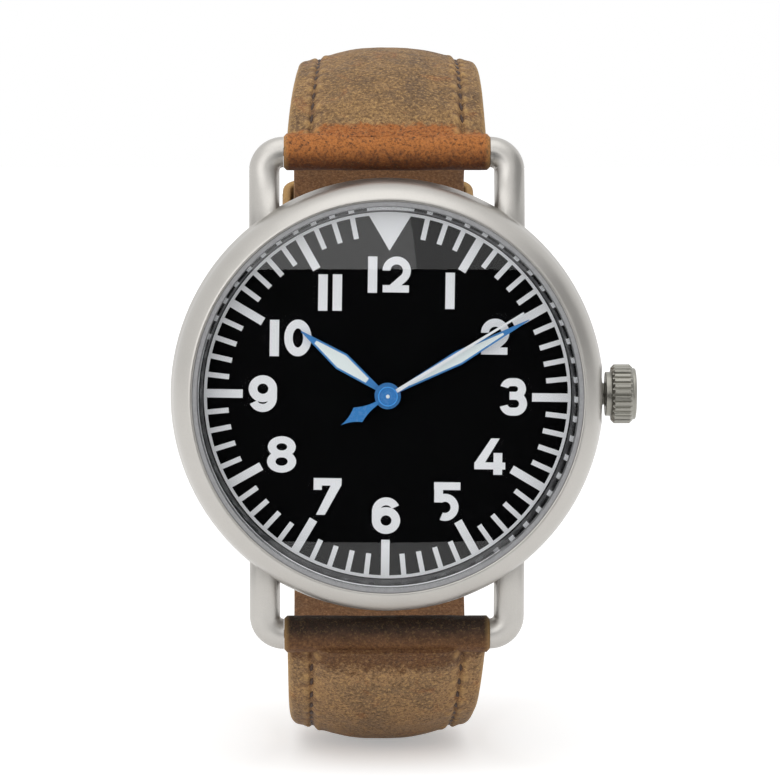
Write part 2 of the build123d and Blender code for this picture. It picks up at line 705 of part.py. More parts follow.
def clutch_pinion():
    """Sliding pinion with face teeth towards the setting wheel, square-holed for the stem."""
    body = rod(CLUTCH_BODY_RADIUS, CLUTCH_X, CLUTCH_X + CLUTCH_LENGTH, z=CROWN_Z)
    points = gear_points(CLUTCH_TEETH, 2 * CLUTCH_RADIUS / (CLUTCH_TEETH + 2 * TIP_SHARE), 0)
    teeth = extrude(outline(Polyline(*points, close=True)), CLUTCH_TOOTH_DEPTH)
    body += Pos(CLUTCH_X, 0, CROWN_Z) * Rot(0, 90, 0) * teeth
    hole_half = STEM_SQUARE_HALF + SLIDING_GAP
    hole = block(
        CLUTCH_X - OVERRUN,
        CLUTCH_X + CLUTCH_LENGTH + OVERRUN,
        -hole_half,
        hole_half,
        CROWN_Z - hole_half,
        CROWN_Z + hole_half,
    )
    return body - hole


def setting_lever():
    """Flat lever on the plate's post, with a finger in the stem's groove."""
    x = STEM_GROOVE_X + STEM_GROOVE_LENGTH / 2
    top = LEVER_Z + LEVER_THICKNESS
    finger_top_y = LEVER_FINGER_END_Y + LEVER_FINGER_LENGTH
    half = LEVER_WIDTH / 2
    arm = disc(half, LEVER_Z, top, x, LEVER_PIVOT_Y)
    arm += block(x - half, x + half, finger_top_y, LEVER_PIVOT_Y, LEVER_Z, top)
    finger_half = LEVER_FINGER_WIDTH / 2
    arm += block(x - finger_half, x + finger_half, LEVER_FINGER_END_Y, finger_top_y, LEVER_Z, top)
    hole = disc(LEVER_POST_RADIUS + RUNNING_GAP, LEVER_Z - OVERRUN, top + OVERRUN, x, LEVER_PIVOT_Y)
    return arm - hole


# Gearing


def gear_points(teeth, module, phase):
    """Corners of a toothed outline, with a tooth at the phase angle."""
    tip = module * (teeth / 2 + TIP_SHARE)
    root = module * (teeth / 2 - ROOT_SHARE)
    pitch = 360 / teeth
    points = []
    for index in range(teeth):
        middle = phase + index * pitch
        points.append(polar(root, middle - TOOTH_ROOT_SHARE * pitch))
        points.append(polar(tip, middle - TOOTH_TIP_SHARE * pitch))
        points.append(polar(tip, middle + TOOTH_TIP_SHARE * pitch))
        points.append(polar(root, middle + TOOTH_ROOT_SHARE * pitch))
    return points


def gear(teeth, module, bottom, top, place=(0, 0), phase=0):
    """Toothed wheel or pinion between two heights."""
    face = outline(Polyline(*gear_points(teeth, module, phase), close=True))
    return Pos(place[0], place[1], bottom) * extrude(face, top - bottom)


def mesh_phase(phase, teeth, direction, other_teeth):
    """Phase of a second gear whose gaps take the first one's teeth, seen in a direction from the first."""
    share = (direction - phase) / (360 / teeth) % 1
    return direction + 180 - (360 / other_teeth) * (1 / 2 - share)


SECONDS_THIRD_MODULE = 2 * THIRD_DISTANCE / (SECONDS_LEAVES + THIRD_TEETH)
THIRD_CENTRE_MODULE = 2 * THIRD_DISTANCE / (THIRD_LEAVES + CENTRE_TEETH)
INTERMEDIATE_MODULE = 2 * INTERMEDIATE_DISTANCE / (INTERMEDIATE_LEAVES + SECONDS_TEETH)
MINUTE_WHEEL_DISTANCE = MOTION_MODULE * (CANNON_LEAVES + MINUTE_WHEEL_TEETH) / 2
SETTING_DISTANCE = MOTION_MODULE * (MINUTE_WHEEL_TEETH + SETTING_TEETH) / 2
ROTOR_DISTANCE = ROTOR_MODULE * (ROTOR_LEAVES + INTERMEDIATE_TEETH) / 2
THIRD_PLACE = polar(THIRD_DISTANCE, THIRD_DIRECTION)
INTERMEDIATE_PLACE = polar(INTERMEDIATE_DISTANCE, INTERMEDIATE_DIRECTION)
ROTOR_STEP = polar(ROTOR_DISTANCE, ROTOR_DIRECTION)
ROTOR_PLACE = (INTERMEDIATE_PLACE[0] + ROTOR_STEP[0], INTERMEDIATE_PLACE[1] + ROTOR_STEP[1])
MINUTE_WHEEL_PLACE = (MINUTE_WHEEL_DISTANCE, 0)
SETTING_PLACE = (MINUTE_WHEEL_DISTANCE + SETTING_DISTANCE, 0)


def pivoted(place):
    """Thin arbor whose ends turn in the bridge and the main plate."""
    return disc(ARBOR_RADIUS, PIVOT_BOTTOM_Z, PIVOT_TOP_Z, place[0], place[1])


def seconds_wheel():
    """Fourth wheel and pinion on the long arbor that carries the seconds hand."""
    wheel_top = SECONDS_WHEEL_Z + WHEEL_THICKNESS
    wheel = gear(SECONDS_TEETH, INTERMEDIATE_MODULE, SECONDS_WHEEL_Z, wheel_top)
    wheel += gear(SECONDS_LEAVES, SECONDS_THIRD_MODULE, wheel_top, SECONDS_PINION_TOP_Z)
    return wheel + disc(PIVOT_RADIUS, PIVOT_BOTTOM_Z, SECONDS_ARBOR_TOP_Z)


def third_wheel():
    """Third wheel and pinion."""
    phase = mesh_phase(0, SECONDS_LEAVES, THIRD_DIRECTION, THIRD_TEETH)
    wheel = gear(
        THIRD_TEETH, SECONDS_THIRD_MODULE, THIRD_WHEEL_Z, THIRD_WHEEL_Z + WHEEL_THICKNESS, THIRD_PLACE, phase
    )
    wheel += gear(THIRD_LEAVES, THIRD_CENTRE_MODULE, THIRD_PINION_Z, THIRD_PINION_TOP_Z, THIRD_PLACE, phase)
    return wheel + pivoted(THIRD_PLACE)


def centre_wheel():
    """Centre wheel on the hollow arbor that carries the cannon pinion."""
    third_phase = mesh_phase(0, SECONDS_LEAVES, THIRD_DIRECTION, THIRD_TEETH)
    phase = mesh_phase(third_phase, THIRD_LEAVES, THIRD_DIRECTION + 180, CENTRE_TEETH)
    wheel = gear(
        CENTRE_TEETH, THIRD_CENTRE_MODULE, CENTRE_WHEEL_Z, CENTRE_WHEEL_Z + WHEEL_THICKNESS, phase=phase
    )
    wheel += disc(CENTRE_TUBE_RADIUS, CENTRE_TUBE_Z, CENTRE_TUBE_TOP_Z)
    return wheel - disc(PIVOT_RADIUS + SLIDING_GAP, CENTRE_TUBE_Z - OVERRUN, CENTRE_TUBE_TOP_Z + OVERRUN)


def intermediate_wheel():
    """Wheel between rotor and seconds wheel."""
    phase = mesh_phase(0, SECONDS_TEETH, INTERMEDIATE_DIRECTION, INTERMEDIATE_LEAVES)
    wheel = gear(
        INTERMEDIATE_LEAVES,
        INTERMEDIATE_MODULE,
        INTERMEDIATE_PINION_Z,
        INTERMEDIATE_PINION_TOP_Z,
        INTERMEDIATE_PLACE,
        phase,
    )
    wheel_top = INTERMEDIATE_WHEEL_Z + INTERMEDIATE_WHEEL_THICKNESS
    wheel += gear(INTERMEDIATE_TEETH, ROTOR_MODULE, INTERMEDIATE_WHEEL_Z, wheel_top, INTERMEDIATE_PLACE, phase)
    return wheel + pivoted(INTERMEDIATE_PLACE)


def rotor():
    """Magnet and pinion on one arbor."""
    phase = mesh_phase(0, SECONDS_TEETH, INTERMEDIATE_DIRECTION, INTERMEDIATE_LEAVES)
    phase = mesh_phase(phase, INTERMEDIATE_TEETH, ROTOR_DIRECTION, ROTOR_LEAVES)
    body = gear(ROTOR_LEAVES, ROTOR_MODULE, ROTOR_PINION_Z, MAGNET_Z, ROTOR_PLACE, phase)
    body += disc(MAGNET_RADIUS, MAGNET_Z, MAGNET_Z + MAGNET_HEIGHT, ROTOR_PLACE[0], ROTOR_PLACE[1])
    return body + pivoted(ROTOR_PLACE)


def cannon_pinion():
    """Pinion and tube that carry the minute hand, seated by friction on the centre arbor."""
    bottom = PLATE_TOP_Z + SLIDING_GAP
    top = MINUTE_HAND_Z + HAND_THICKNESS + SEAT_GAP
    body = gear(CANNON_LEAVES, MOTION_MODULE, bottom, CANNON_PINION_TOP_Z)
    body += disc(CANNON_TUBE_RADIUS, bottom, top)
    body -= disc(CENTRE_TUBE_RADIUS + RUNNING_GAP, bottom - OVERRUN, CENTRE_TUBE_TOP_Z + SLIDING_GAP)
    return body - disc(PIVOT_RADIUS + SEAT_GAP, bottom, top + OVERRUN)


def minute_wheel():
    """Minute wheel and pinion on the plate's stud."""
    bottom = PLATE_TOP_Z + SEAT_GAP
    phase = mesh_phase(0, CANNON_LEAVES, 0, MINUTE_WHEEL_TEETH)
    wheel = gear(
        MINUTE_WHEEL_TEETH, MOTION_MODULE, bottom, bottom + WHEEL_THICKNESS, MINUTE_WHEEL_PLACE, phase
    )
    wheel += gear(
        MINUTE_WHEEL_LEAVES, MOTION_MODULE, bottom + WHEEL_THICKNESS, MINUTE_PINION_TOP_Z, MINUTE_WHEEL_PLACE, phase
    )
    x, y = MINUTE_WHEEL_PLACE
    return wheel - disc(STUD_RADIUS + RUNNING_GAP, bottom - OVERRUN, MINUTE_PINION_TOP_Z + OVERRUN, x, y)


def setting_wheel():
    """Idler between clutch pinion and minute wheel."""
    bottom = PLATE_TOP_Z + SEAT_GAP
    phase = mesh_phase(0, CANNON_LEAVES, 0, MINUTE_WHEEL_TEETH)
    phase = mesh_phase(phase, MINUTE_WHEEL_TEETH, 0, SETTING_TEETH)
    top = bottom + WHEEL_THICKNESS
    wheel = gear(SETTING_TEETH, MOTION_MODULE, bottom, top, SETTING_PLACE, phase)
    x, y = SETTING_PLACE
    return wheel - disc(STUD_RADIUS + RUNNING_GAP, bottom - OVERRUN, top + OVERRUN, x, y)


def hour_wheel():
    """Hour wheel and tube that carry the hour hand round the cannon pinion."""
    minute_phase = mesh_phase(0, CANNON_LEAVES, 0, MINUTE_WHEEL_TEETH)
    phase = mesh_phase(minute_phase, MINUTE_WHEEL_LEAVES, 180, HOUR_WHEEL_TEETH)
    top = HOUR_HAND_Z + HAND_THICKNESS + SEAT_GAP
    wheel = gear(HOUR_WHEEL_TEETH, MOTION_MODULE, HOUR_WHEEL_Z, HOUR_WHEEL_Z + WHEEL_THICKNESS, phase=phase)
    wheel += disc(HOUR_TUBE_RADIUS, HOUR_WHEEL_Z, top)
    return wheel - disc(CANNON_TUBE_RADIUS + SLIDING_GAP, HOUR_WHEEL_Z - OVERRUN, top + OVERRUN)


# Hands, drawn pointing to 12


def sword(root_half, shoulder_at, shoulder_half, length, tip_half):
    """Half outline and mirror of a sword hand, from its hub to its tip."""
    points = [
        (root_half, 0),
        (root_half, HAND_HUB_RADIUS),
        (shoulder_half, shoulder_at),
        (tip_half, length),
        (-tip_half, length),
        (-shoulder_half, shoulder_at),
        (-root_half, HAND_HUB_RADIUS),
        (-root_half, 0),
    ]
    return outline(Polyline(*points, close=True))


def half_width(distance, root_half, shoulder_at, shoulder_half, length, tip_half):
    """Half width of a sword hand at a distance from its hub."""
    if distance < shoulder_at:
        share = (distance - HAND_HUB_RADIUS) / (shoulder_at - HAND_HUB_RADIUS)
        return blend(share, root_half, shoulder_half)
    return blend((distance - shoulder_at) / (length - shoulder_at), shoulder_half, tip_half)


def window(start, end, *sizes):
    """Opening of a sword hand for its filling, a border inside the outline."""
    near = max(half_width(start, *sizes) - LUME_BORDER, LUME_END_HALF)
    far = max(half_width(end, *sizes) - LUME_BORDER, LUME_END_HALF)
    shoulder_at, shoulder = sizes[1], sizes[2] - LUME_BORDER
    points = [
        (near, start),
        (shoulder, shoulder_at),
        (far, end),
        (-far, end),
        (-shoulder, shoulder_at),
        (-near, start),
    ]
    return outline(Polyline(*points, close=True))


def sword_hand(bottom, tube_radius, hub_radius, angle, start, end, *sizes):
    """Sword hand with its window, bored for its tube and turned to its time."""
    top = bottom + HAND_THICKNESS
    blade = Pos(0, 0, bottom) * extrude(sword(*sizes), HAND_THICKNESS)
    hand = blade + disc(hub_radius, bottom, top)
    hand -= Pos(0, 0, bottom - OVERRUN) * extrude(window(start, end, *sizes), HAND_THICKNESS + 2 * OVERRUN)
    hand -= disc(tube_radius, bottom - OVERRUN, top + OVERRUN)
    return Rot(0, 0, -angle) * hand


def filling(bottom, angle, start, end, *sizes):
    """White filling in a sword hand's window, a little proud of it."""
    return Rot(0, 0, -angle) * Pos(0, 0, bottom) * extrude(window(start, end, *sizes), HAND_THICKNESS + LUME_PROUD)


HOUR_SIZES = (HOUR_ROOT_HALF, HOUR_SHOULDER_AT, HOUR_SHOULDER_HALF, HOUR_HAND_LENGTH, HOUR_TIP_HALF)
MINUTE_SIZES = (MINUTE_ROOT_HALF, MINUTE_SHOULDER_AT, MINUTE_SHOULDER_HALF, MINUTE_HAND_LENGTH, MINUTE_TIP_HALF)


def seconds_hand():
    """Slim hand with a hub disc and a spade counterweight of four hollow arcs."""
    blade = outline(
        Polyline(
            (SECONDS_ROOT_HALF, 0),
            (SECONDS_TIP_HALF, SECONDS_HAND_LENGTH),
            (-SECONDS_TIP_HALF, SECONDS_HAND_LENGTH),
            (-SECONDS_ROOT_HALF, 0),
            close=True,
        )
    )
    neck = (TAIL_NECK_HALF, -SECONDS_HUB_RADIUS)
    shoulder = (TAIL_SHOULDER_HALF, -TAIL_SHOULDER_AT)
    tip = (0, -TAIL_LENGTH)
    upper = ((neck[0] + shoulder[0]) / 2 - TAIL_HOLLOW, (neck[1] + shoulder[1]) / 2)
    lower = ((tip[0] + shoulder[0]) / 2 - TAIL_HOLLOW, (tip[1] + shoulder[1]) / 2)
    spade = outline(
        Line((0, 0), (neck[0], 0)),
        Line((neck[0], 0), neck),
        ThreePointArc(neck, upper, shoulder),
        ThreePointArc(shoulder, lower, tip),
        ThreePointArc(tip, (-lower[0], lower[1]), (-shoulder[0], shoulder[1])),
        ThreePointArc((-shoulder[0], shoulder[1]), (-upper[0], upper[1]), (-neck[0], neck[1])),
        Line((-neck[0], neck[1]), (-neck[0], 0)),
        Line((-neck[0], 0), (0, 0)),
    )
    hand = Pos(0, 0, SECONDS_HAND_Z) * extrude(blade, SECONDS_HAND_THICKNESS)
    hand += Pos(0, 0, SECONDS_HAND_Z) * extrude(spade, SECONDS_HAND_THICKNESS)
    hand += disc(SECONDS_HUB_RADIUS, SECONDS_HAND_Z, SECONDS_HAND_Z + SECONDS_HUB_HEIGHT)
    hand -= disc(PIVOT_RADIUS, SECONDS_HAND_Z - OVERRUN, SECONDS_HAND_Z + OVERRUN)
    return Rot(0, 0, -SECONDS_ANGLE) * hand


# Movement


def movement_holder():
    """Plastic ring between movement and case, with a hole for the stem."""
    ring = tube(CASE_BORE_RADIUS - SEAT_GAP, PLATE_RADIUS, HOLDER_Z, DIAL_Z)
    return ring - rod(HOLDER_STEM_HOLE_RADIUS, 0, CASE_RADIUS, z=CROWN_Z)


def main_plate():
    """Plate with a rim, bearing holes, studs for the motion work and beds for stem, clutch and lever."""
    plate = disc(PLATE_RADIUS, PLATE_Z, PLATE_TOP_Z) + tube(PLATE_RADIUS, RIM_INNER_RADIUS, RIM_Z, PLATE_Z)
    plate -= disc(CENTRE_TUBE_RADIUS + RUNNING_GAP, RIM_Z, PLATE_TOP_Z + OVERRUN)
    for x, y in (THIRD_PLACE, INTERMEDIATE_PLACE, ROTOR_PLACE):
        plate -= disc(ARBOR_RADIUS + RUNNING_GAP, RIM_Z, PLATE_TOP_Z + OVERRUN, x, y)
    for angle in DIAL_FOOT_ANGLES:
        x, y = polar(DIAL_FOOT_CIRCLE, angle)
        plate -= disc(DIAL_FOOT_RADIUS, DIAL_Z - DIAL_FOOT_LENGTH, PLATE_TOP_Z + OVERRUN, x, y)
    for x, y in SCREW_PLACES:
        plate -= disc(SCREW_SHANK_RADIUS, RIM_Z - OVERRUN, BRIDGE_Z + SCREW_LENGTH, x, y)
    for x, y in (MINUTE_WHEEL_PLACE, SETTING_PLACE):
        plate += disc(STUD_RADIUS, PLATE_Z, STUD_TOP_Z, x, y)
    plate -= rod(STEM_RADIUS + SEAT_GAP, STEM_COLLAR_X - OVERRUN, PLATE_RADIUS + OVERRUN, z=CROWN_Z)
    plate -= rod(CLUTCH_RADIUS + SEAT_GAP, STEM_SQUARE_X - PART_GAP, STEM_COLLAR_X, z=CROWN_Z)
    x = STEM_GROOVE_X + STEM_GROOVE_LENGTH / 2
    return plate + disc(LEVER_POST_RADIUS, LEVER_Z - PART_GAP, PLATE_Z, x, LEVER_PIVOT_Y)


def train_bridge():
    """Straight bridge across the train, seated on the plate's rim."""
    bridge = disc(BRIDGE_RADIUS, BRIDGE_Z, RIM_Z)
    bridge &= block(BRIDGE_LEFT_X, BRIDGE_RIGHT_X, -PLATE_RADIUS, PLATE_RADIUS, BRIDGE_Z, RIM_Z)
    for x, y in (THIRD_PLACE, INTERMEDIATE_PLACE, ROTOR_PLACE):
        bridge -= disc(ARBOR_RADIUS + RUNNING_GAP, BRIDGE_Z - OVERRUN, RIM_Z + OVERRUN, x, y)
    bridge -= disc(PIVOT_RADIUS + RUNNING_GAP, BRIDGE_Z - OVERRUN, RIM_Z + OVERRUN)
    for x, y in SCREW_PLACES:
        bridge -= disc(SCREW_SHANK_RADIUS, BRIDGE_Z - OVERRUN, RIM_Z + OVERRUN, x, y)
    return bridge


def bridge_screws():
    """Cheese-head screws of the bridge."""
    screws = []
    for x, y in SCREW_PLACES:
        head = disc(SCREW_HEAD_RADIUS, BRIDGE_Z - SCREW_HEAD_HEIGHT, BRIDGE_Z, x, y)
        screws.append(head + disc(SCREW_SHANK_RADIUS, BRIDGE_Z, BRIDGE_Z + SCREW_LENGTH, x, y))
    return Compound(children=screws)


def battery():
    """Button cell with its stepped can."""
    bottom = PLATE_Z - BATTERY_HEIGHT
    cell = disc(BATTERY_RADIUS, bottom + BATTERY_STEP, PLATE_Z, BATTERY_X, BATTERY_Y)
    return cell + disc(BATTERY_RADIUS - BATTERY_STEP, bottom, PLATE_Z, BATTERY_X, BATTERY_Y)


def circuit_board():
    """Board with its chip, seated on the plate's rim."""
    top = BOARD_Z + BOARD_THICKNESS
    board = disc(BOARD_RADIUS, BOARD_Z, top)
    board &= block(BOARD_LEFT_X, BOARD_RIGHT_X, BOARD_BOTTOM_Y, PLATE_RADIUS, BOARD_Z, top)
    half = CHIP_SIZE / 2
    return board + block(CHIP_X - half, CHIP_X + half, CHIP_Y - half, CHIP_Y + half, top, top + CHIP_HEIGHT)


def quartz_can():
    """Small round can lying on the board."""
    return rod(CAN_RADIUS, CAN_X, CAN_X + CAN_LENGTH, CAN_Y, BOARD_Z + BOARD_THICKNESS + CAN_RADIUS)


def coil_winding():
    """Round winding on the core."""
    turn = Pos(COIL_X, COIL_BOTTOM_Y, COIL_Z) * Rot(-90, 0, 0)
    length = COIL_TOP_Y - COIL_BOTTOM_Y
    winding = turn * Cylinder(COIL_RADIUS, length, align=(Align.CENTER, Align.CENTER, Align.MIN))
    return winding - core_bar()


def core_bar():
    """Flat bar through the winding."""
    return block(
        COIL_X - CORE_HALF_WIDTH,
        COIL_X + CORE_HALF_WIDTH,
        COIL_BOTTOM_Y - CORE_OVERHANG,
        COIL_TOP_Y + CORE_OVERHANG,
        COIL_Z - CORE_HALF_THICKNESS,
        COIL_Z + CORE_HALF_THICKNESS,
    )


def coil_core():
    """Core bar with feet up to the stator."""
    foot_top = PLATE_Z - STATOR_THICKNESS
    left, right = COIL_X - CORE_HALF_WIDTH, COIL_X + CORE_HALF_WIDTH
    foot_bottom = COIL_Z - CORE_HALF_THICKNESS
    core = core_bar()
    core += block(left, right, COIL_TOP_Y + SEAT_GAP, COIL_TOP_Y + CORE_OVERHANG, foot_bottom, foot_top)
    core += block(left, right, COIL_BOTTOM_Y - CORE_OVERHANG, COIL_BOTTOM_Y - SEAT_GAP, foot_bottom, foot_top)
    return core


def stator():
    """Two pole pieces in one plate under the main plate, open round the rotor."""
    bottom = PLATE_Z - STATOR_THICKNESS
    x, y = ROTOR_PLACE
    leg_right = STATOR_LEG_X + STATOR_LEG_WIDTH
    arm_bottom = y - STATOR_ARM_HALF_HEIGHT
    plate = block(STATOR_LEFT_X, x + STATOR_ARM_REACH, arm_bottom, y + STATOR_ARM_HALF_HEIGHT, bottom, PLATE_Z)
    foot_top = COIL_BOTTOM_Y - SEAT_GAP
    foot_bottom = COIL_BOTTOM_Y - CORE_OVERHANG
    plate += block(STATOR_LEG_X, leg_right, foot_bottom, arm_bottom, bottom, PLATE_Z)
    plate += block(STATOR_LEFT_X, leg_right, foot_bottom, foot_top, bottom, PLATE_Z)
    return plate - disc(STATOR_HOLE_RADIUS, bottom - OVERRUN, PLATE_Z + OVERRUN, x, y)


# Strap on its loop


UPRIGHT = Rot(90, 0, 0)
BAR_CENTRE_Y = -BAR_Z
UPPER_BAR_ANGLE = math.degrees(math.atan2(BAR_Y + LOOP_DROP, BAR_CENTRE_Y - LOOP_Y))
LOWER_BAR_ANGLE = math.degrees(math.atan2(-BAR_Y + LOOP_DROP, BAR_CENTRE_Y - LOOP_Y))
UPPER_BAR_RADIUS = math.hypot(BAR_Y + LOOP_DROP, BAR_CENTRE_Y - LOOP_Y)
LOWER_BAR_RADIUS = math.hypot(-BAR_Y + LOOP_DROP, BAR_CENTRE_Y - LOOP_Y)
LINING_START = math.degrees(ROLL_RADIUS / LOOP_RADIUS)
LINING_END = math.degrees(END_ROLL_RADIUS / LOOP_RADIUS)
PASS_RADIUS = LOOP_RADIUS + 2 * END_ROLL_RADIUS + STRAP_GAP
TAIL_RADIUS = LOOP_RADIUS + LINING_THICKNESS + UPPER_EDGE + FLAT_CROWN + STRAP_GAP


def loop_place(angle, radius):
    """Point on the loop, 0 degrees at the back and 90 at the top."""
    y, z = polar(radius, angle)
    return (0, LOOP_Y + y, z - LOOP_DROP)


def loop_plane(angle, radius):
    """Plane across the strap: x along the strap's width, y outwards."""
    turn = math.radians(angle)
    return Plane(origin=loop_place(angle, radius), x_dir=(1, 0, 0), z_dir=(0, -math.sin(turn), math.cos(turn)))


def upper_section(angle, radius, width, edge, crown_height):
    """Padded section: flat underside, beaded edges, stitch channels and a crown between them."""
    half = width / 2
    pad = half - STITCH_MARGIN * width / STRAP_WIDTH
    side = edge - EDGE_BEAD
    face = outline(
        Line((-half, 0), (half, 0)),
        Line((half, 0), (half, side)),
        ThreePointArc((half, side), ((half + pad) / 2, edge), (pad, side)),
        ThreePointArc((pad, side), (0, edge + crown_height), (-pad, side)),
        ThreePointArc((-pad, side), (-(half + pad) / 2, edge), (-half, side)),
        Line((-half, side), (-half, 0)),
    )
    return loop_plane(angle, radius) * face


def lining_section(angle, radius, width):
    """Flat section of the lining."""
    half = width / 2
    face = outline(Polyline((-half, 0), (half, 0), (half, LINING_THICKNESS), (-half, LINING_THICKNESS), close=True))
    return loop_plane(angle, radius) * face


def steps(start, end, count):
    """Evenly spaced angles, both ends included."""
    return [start + (end - start) * index / count for index in range(count + 1)]


def short_width(angle):
    """Width of the short strap: tapered over the top, parallel under the keepers."""
    share = min((UPPER_BAR_ANGLE - angle) / (UPPER_BAR_ANGLE - SHORT_TAPER_END_ANGLE), 1)
    return blend(share, STRAP_WIDTH, STRAP_END_WIDTH)


def short_radius(angle):
    """Inner radius of the short strap, settling from its roll onto the loop."""
    share = smooth((UPPER_BAR_ANGLE - angle) / LOOP_SETTLE_ANGLE)
    return blend(share, UPPER_BAR_RADIUS - ROLL_RADIUS, LOOP_RADIUS)


def short_crown(angle):
    """Crown of the short strap: quick rise from the roll, full over the top, flat at the back."""
    rise = smooth((UPPER_BAR_ANGLE - angle) / SHORT_CROWN_FULL_AFTER)
    fall = smooth((SHORT_CROWN_FULL_UNTIL - angle) / (SHORT_CROWN_FULL_UNTIL - SHORT_CROWN_FLAT_FROM))
    return blend(fall, blend(rise, SHORT_CROWN_START, SHORT_CROWN), FLAT_CROWN)


def long_crown(angle):
    """Crown of the long strap."""
    rise = smooth((angle - LOWER_BAR_ANGLE) / SHORT_CROWN_FULL_AFTER)
    fall = smooth((angle - LONG_CROWN_FULL_UNTIL) / (LONG_CROWN_FLAT_FROM - LONG_CROWN_FULL_UNTIL))
    return blend(fall, blend(rise, SHORT_CROWN_START, LONG_CROWN), FLAT_CROWN)


def long_radius(angle):
    """Inner radius of the long strap: onto the loop, out over the end roll, then down on the short strap."""
    if angle <= STEP_START_ANGLE:
        settled = smooth((angle - LOWER_BAR_ANGLE) / LOOP_SETTLE_ANGLE)
        return blend(settled, LOWER_BAR_RADIUS - ROLL_RADIUS, LOOP_RADIUS)
    if angle <= PASS_END_ANGLE:
        share = smooth((angle - STEP_START_ANGLE) / (STEP_END_ANGLE - STEP_START_ANGLE))
        return blend(share, LOOP_RADIUS, PASS_RADIUS)
    share = smooth((angle - PASS_END_ANGLE) / (TAIL_START_ANGLE - PASS_END_ANGLE))
    return blend(share, PASS_RADIUS, TAIL_RADIUS)


def long_width(angle):
    """Width of the long strap: tapered to the buckle, parallel along the tail, rounded at the tip."""
    if angle <= STEP_START_ANGLE:
        share = (angle - LOWER_BAR_ANGLE) / (STEP_START_ANGLE - LOWER_BAR_ANGLE)
        return blend(share, STRAP_WIDTH, STRAP_END_WIDTH)
    if angle <= TIP_START_ANGLE:
        return STRAP_END_WIDTH
    share = (angle - TIP_START_ANGLE) / (TAIL_END_ANGLE - TIP_START_ANGLE)
    return max(STRAP_END_WIDTH * math.sqrt(1 - share * share), 2 * TIP_HALF_WIDTH)


def short_angles():
    """Stations of the short strap, the lining using all but the first and the last."""
    start, end = UPPER_BAR_ANGLE - LINING_START, SHORT_END_ANGLE + LINING_END
    return [UPPER_BAR_ANGLE] + steps(start, end, SHORT_STATIONS) + [SHORT_END_ANGLE]


def long_angles():
    """Stations of the long strap, the lining using all but the first."""
    angles = [LOWER_BAR_ANGLE] + steps(LOWER_BAR_ANGLE + LINING_START, STEP_START_ANGLE, LONG_STATIONS)
    angles += steps(STEP_START_ANGLE, STEP_END_ANGLE, STEP_STATIONS)[1:]
    angles += steps(PASS_END_ANGLE, TAIL_START_ANGLE, PASS_STATIONS)
    angles += steps(TAIL_START_ANGLE, TIP_START_ANGLE, TAIL_STATIONS)[1:]
    return angles + steps(TIP_START_ANGLE, TAIL_END_ANGLE, TIP_STATIONS)[1:]


def roll(bar_z_sign):
    """Leather rolled round a lug's spring bar."""
    half = STRAP_WIDTH / 2
    return rod(ROLL_RADIUS, -half, half, BAR_CENTRE_Y, bar_z_sign * BAR_Y)


def roll_bore(bar_z_sign):
    """Way of the spring bar through the roll."""
    half = STRAP_WIDTH / 2 + OVERRUN
    return rod(ROLL_BORE_RADIUS, -half, half, BAR_CENTRE_Y, bar_z_sign * BAR_Y)


BUCKLE_PIN_PLACE = loop_place(SHORT_END_ANGLE, LOOP_RADIUS + END_ROLL_RADIUS)


def strap_short_upper():
    """Padded leather of the short strap, rolled round the upper spring bar and the buckle pin."""
    edge = UPPER_EDGE
    sections = []
    for angle in short_angles():
        radius = short_radius(angle) + LINING_THICKNESS
        sections.append(upper_section(angle, radius, short_width(angle), edge, short_crown(angle)))
    leather = loft(sections, ruled=True) + roll(1) - roll_bore(1)
    half = STRAP_END_WIDTH / 2
    y, z = BUCKLE_PIN_PLACE[1], BUCKLE_PIN_PLACE[2]
    leather += rod(END_ROLL_RADIUS, -half, half, y, z)
    leather -= rod(END_ROLL_BORE_RADIUS, -half - OVERRUN, half + OVERRUN, y, z)
    return leather - tang_slot()


def tang_slot():
    """Gap in the short strap's end roll for the tang's eye."""
    y, z = BUCKLE_PIN_PLACE[1], BUCKLE_PIN_PLACE[2]
    return rod(END_ROLL_RADIUS + OVERRUN, -TANG_SLOT_WIDTH / 2, TANG_SLOT_WIDTH / 2, y, z)


def strap_short_lining():
    """Lining of the short strap, from roll to roll."""
    sections = []
    for angle in short_angles()[1:-1]:
        sections.append(lining_section(angle, short_radius(angle), short_width(angle)))
    return loft(sections, ruled=True) - tang_slot()


def strap_long_upper():
    """Padded leather of the long strap, rolled round the lower spring bar, punched, with a rounded tip."""
    sections = []
    for angle in long_angles():
        tail = smooth((angle - LONG_CROWN_FLAT_FROM) / (STEP_END_ANGLE - LONG_CROWN_FLAT_FROM))
        edge = blend(tail, UPPER_EDGE, TAIL_UPPER_EDGE)
        radius = long_radius(angle) + LINING_THICKNESS
        sections.append(upper_section(angle, radius, long_width(angle), edge, long_crown(angle)))
    leather = loft(sections, ruled=True) + roll(-1) - roll_bore(-1)
    return leather - punched_holes()


def strap_long_lining():
    """Lining of the long strap."""
    sections = []
    for angle in long_angles()[1:]:
        sections.append(lining_section(angle, long_radius(angle), long_width(angle)))
    return loft(sections, ruled=True) - punched_holes()


def punched_holes():
    """Row of oval holes, the longer one in use by the tang."""
    cuts = Part()
    for index in range(HOLE_COUNT):
        angle = HOLE_FIRST_ANGLE + index * HOLE_PITCH_ANGLE
        if abs(angle - TANG_HOLE_ANGLE) > HOLE_PITCH_ANGLE:
            cuts += punch(angle, HOLE_LENGTH)
    return cuts + punch(TANG_HOLE_ANGLE, TANG_HOLE_LENGTH)


